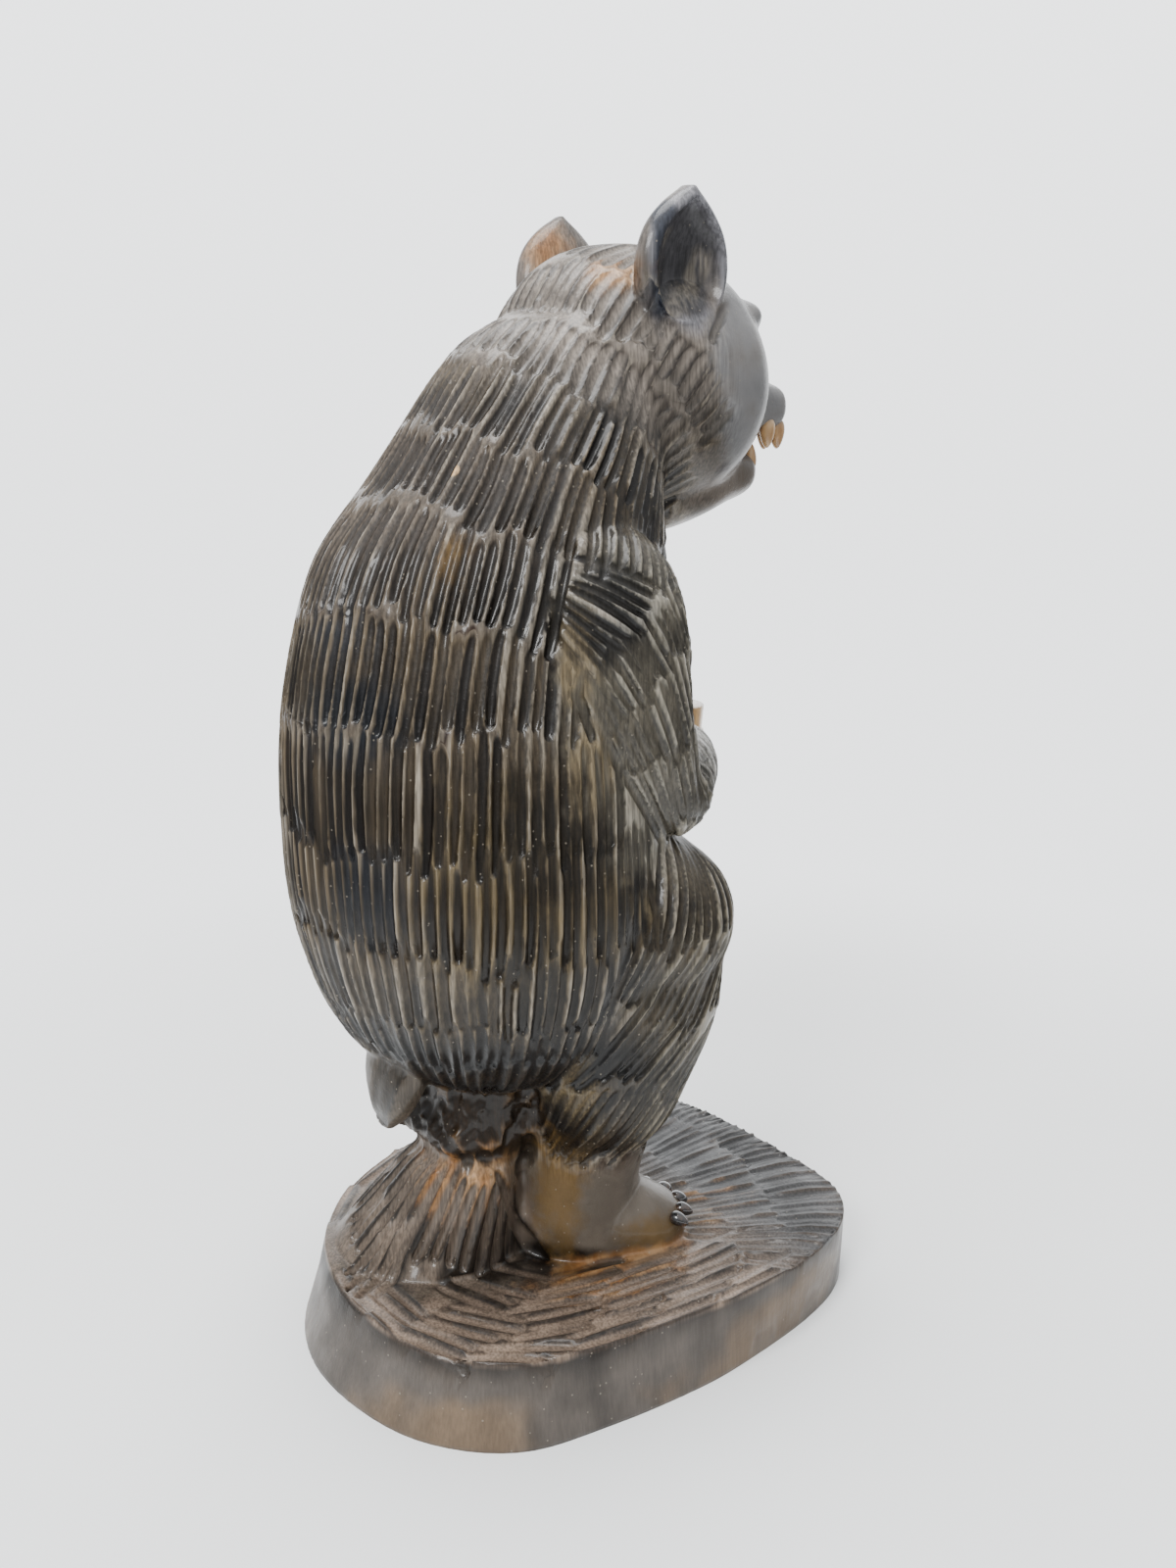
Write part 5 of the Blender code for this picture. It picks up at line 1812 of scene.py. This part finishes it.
def pegs(name, tree, roots, sizes, material):
    """A piece of pegs: roots are places with the way that each peg points."""
    mesh = bpy.data.meshes.new(name)
    mesh.from_pydata([tuple(where) for where, _ in roots], [], [])
    aims = mesh.attributes.new("aim", "FLOAT_VECTOR", "POINT")
    for index, (_, way) in enumerate(roots):
        aims.data[index].vector = way
    made = bpy.data.objects.new(name, mesh)
    bpy.context.scene.collection.objects.link(made)
    maker = made.modifiers.new("pegs", "NODES")
    maker.node_group = tree
    for socket in tree.interface.items_tree:
        if socket.in_out == "INPUT" and socket.name in sizes:
            maker[socket.identifier] = sizes[socket.name]
        if socket.in_out == "INPUT" and socket.name == "Material":
            maker[socket.identifier] = material
    settle(made)
    if not made.data.materials:
        made.data.materials.append(material)
    return made


def tooth_roots():
    """Fangs at the muzzle's corners and front, and two in the lower jaw."""
    found = []
    for x, y, z, way in TEETH:
        for side in (-1, 1):
            found.append((place(side * x, y, z), Z_AXIS * way))
    return found


def claw_roots():
    """A bow of claws round the front of each foot."""
    found = []
    for side in (-1, 1):
        for index in range(CLAW_COUNT):
            angle = CLAW_FIRST + CLAW_STEP * index
            x = CLAW_BOW_CENTRE[0] + CLAW_BOW_HALF[0] * math.sin(angle)
            y = CLAW_BOW_CENTRE[1] - CLAW_BOW_HALF[1] * math.cos(angle)
            out = Vector((-side * math.sin(angle), -math.cos(angle), -CLAW_DIP)).normalized()
            found.append((place(-side * x, y, CLAW_BOW_CENTRE[2]), out))
    return found


def turned(name, centre, profile, material):
    """A closed turned shape from heights and radii in metres."""
    rings = []
    for height, radius in profile:
        rings.append(ring_points(centre + Z_AXIS * height, X_AXIS, Y_AXIS, radius, radius))
    made = mesh_object(name, skin(rings))
    bevel = made.modifiers.new("edges", "BEVEL")
    bevel.width = TUB_BEVEL
    bevel.segments = 2
    settle(made)
    made.data.materials.append(material)
    shade_smooth(made)
    return made


def honey_tub(material):
    """A tub that widens upward a little, with two hoops."""
    half = TUB_HEIGHT / 2

    def radius(share):
        return TUB_BOTTOM_RADIUS + (TUB_TOP_RADIUS - TUB_BOTTOM_RADIUS) * share

    profile = [(-half, radius(0) * TUB_END_SHARE), (-half * TUB_FOOT_SHARE, radius(0))]
    for share in HOOP_LEVELS:
        for offset, lift in HOOP_SECTION:
            level = share + offset
            profile.append((-half + TUB_HEIGHT * level, radius(level) - HOOP_LIFT + lift))
    profile += [(half * TUB_RIM_SHARE, radius(1) - HOOP_LIFT), (half, radius(1) * TUB_END_SHARE)]
    return turned("honey_tub", place(*TUB_CENTRE), profile, material)


def balls(name, spots, material):
    """Several small balls as one piece."""
    whole = bmesh.new()
    for centre, half in spots:
        mesh = bpy.data.meshes.new("ball")
        body = ball(centre, half)
        body.to_mesh(mesh)
        body.free()
        whole.from_mesh(mesh)
        bpy.data.meshes.remove(mesh)
    made = mesh_object(name, whole)
    made.data.materials.append(material)
    shade_smooth(made)
    return made


# Studio
FLOOR_RADIUS = 0.5
FLOOR_SIDES = 96
FLOOR_FADE = (0.2, 0.95 * FLOOR_RADIUS, 1.0, 0.0)
FLOOR_GREY = (0.80, 0.81, 0.81, 1)
FLOOR_PALE = (0.86, 0.87, 0.87, 1)
FLOOR_MOTTLE = 6
WALL_TINT = (0.96, 0.98, 1.0, 1)

# The room's light: from and to which height it brightens, or how far toward the view's middle, then
# how bright it is at each
ROOM_LIGHT = (-0.1, 0.9, 0.40, 1.4)
BACKDROP_LIGHT = (0.60, 0.84, 0.0, 2.2)

# Lamps: place, size and power, and where both look
KEY_LAMP = ((-0.55, 1.15, 1.05), 0.5, 20)
TOP_LAMP = ((0.1, 0.1, 1.5), 0.8, 24)
LAMP_AIM = Vector((0, 0, 0.15))

CAMERA_AZIMUTH = math.radians(232)
CAMERA_DISTANCE = 0.338
CAMERA_HEIGHT = 0.22
CAMERA_PITCH = math.radians(12)
CAMERA_LENS = 29.25
CAMERA_OFFSET = Vector((0.008, 0.0055, 0))


def pale_floor():
    """A round pale floor that fades into the background at its rim."""
    material, tree, sockets, where = new_material("pale paper", FLOOR_PALE)
    mottle = noise(tree, where, FLOOR_MOTTLE, detail=2)
    tree.links.new(blend(tree, mottle, FLOOR_GREY, FLOOR_PALE), sockets["Base Color"])
    sockets["Roughness"].default_value = 0.9
    away = vector_sum(tree, "LENGTH", {0: where})["Value"]
    tree.links.new(between(tree, away, *FLOOR_FADE), sockets["Alpha"])
    body = bmesh.new()
    bmesh.ops.create_circle(body, cap_ends=True, segments=FLOOR_SIDES, radius=FLOOR_RADIUS)
    floor = mesh_object("floor", body)
    floor.data.materials.append(material)
    floor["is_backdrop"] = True


def soft_light(name, where, size, power):
    """A large square lamp that looks at the figure."""
    lamp = bpy.data.objects.new(name, bpy.data.lights.new(name, "AREA"))
    lamp.data.size = size
    lamp.data.energy = power
    lamp.location = where
    lamp.rotation_euler = (LAMP_AIM - Vector(where)).to_track_quat("-Z", "Y").to_euler()
    lamp.visible_camera = False
    bpy.context.scene.collection.objects.link(lamp)


def pale_room():
    """A pale backdrop behind the figure, and round it a dimmer room that is brighter overhead."""
    world = bpy.data.worlds.new("studio")
    world.use_nodes = True
    tree = world.node_tree
    toward = add_node(tree, "ShaderNodeTexCoord").outputs["Generated"]
    view = (-math.sin(CAMERA_AZIMUTH), math.cos(CAMERA_AZIMUTH), 0.0)
    facing = vector_sum(tree, "DOT_PRODUCT", {0: toward, 1: view})["Value"]
    backdrop = between(tree, facing, *BACKDROP_LIGHT)
    room = between(tree, axes(tree, toward)["Z"], *ROOM_LIGHT)
    shade = tree.nodes["Background"].inputs
    shade["Color"].default_value = WALL_TINT
    tree.links.new(plus(tree, backdrop, room), shade["Strength"])
    bpy.context.scene.world = world


def studio():
    """Soft lamps: one high over the camera's left shoulder, one over the bear's back."""
    pale_room()
    soft_light("key", *KEY_LAMP)
    soft_light("top", *TOP_LAMP)


def photo_camera():
    """The camera behind the bear's right shoulder, a little above and looking down."""
    camera = bpy.data.objects.new("camera", bpy.data.cameras.new("camera"))
    bpy.context.scene.collection.objects.link(camera)
    back = Vector((math.sin(CAMERA_AZIMUTH), -math.cos(CAMERA_AZIMUTH), 0))
    camera.location = back * CAMERA_DISTANCE + Z_AXIS * CAMERA_HEIGHT - CAMERA_OFFSET
    look = -back * math.cos(CAMERA_PITCH) - Z_AXIS * math.sin(CAMERA_PITCH)
    camera.rotation_euler = look.to_track_quat("-Z", "Y").to_euler()
    camera.data.lens = CAMERA_LENS
    bpy.context.scene.camera = camera


def dress(piece):
    """A finished piece rides on the one body."""
    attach(piece, "root")


def build():
    """The carving and what is set in it, then the studio round it."""
    carving = bear_carving()
    carving.data.materials.clear()
    carving.data.materials.append(scorched_wood())
    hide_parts("carved_bear")
    black = black_lacquer("burnt black", (0.010, 0.010, 0.011, 1), (0.06, 0.035, 0.022, 1))
    pale = raw_wood("raw tooth wood", (0.62, 0.40, 0.20, 1), (0.36, 0.19, 0.075, 1), 2.0)
    honey = raw_wood("tub wood", (0.56, 0.34, 0.13, 1), (0.34, 0.18, 0.06, 1), 1.0)
    tree = peg_tree("hooked peg")
    tooth = {"Length": TOOTH_LENGTH, "Width": TOOTH_WIDTH, "Taper": TOOTH_TAPER, "Hook": 0.0}
    claw = {"Length": CLAW_LENGTH, "Width": CLAW_WIDTH, "Taper": CLAW_TAPER, "Hook": CLAW_HOOK}
    pieces = [
        carving,
        pegs("teeth", tree, tooth_roots(), tooth, pale),
        pegs("claws", tree, claw_roots(), claw, black),
        balls("eyes", both_sides(RIGHT_EYE, EYE_HALF), black),
        balls("nose", [(NOSE_CENTRE, NOSE_HALF)], black),
        honey_tub(honey),
    ]
    for piece in pieces:
        dress(piece)
    photo_camera()
    pale_floor()
    studio()


build()

boxes = {"cad": CAD_BOX, "visual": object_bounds()}
{name: [list(corner) for corner in box] for name, box in boxes.items()}
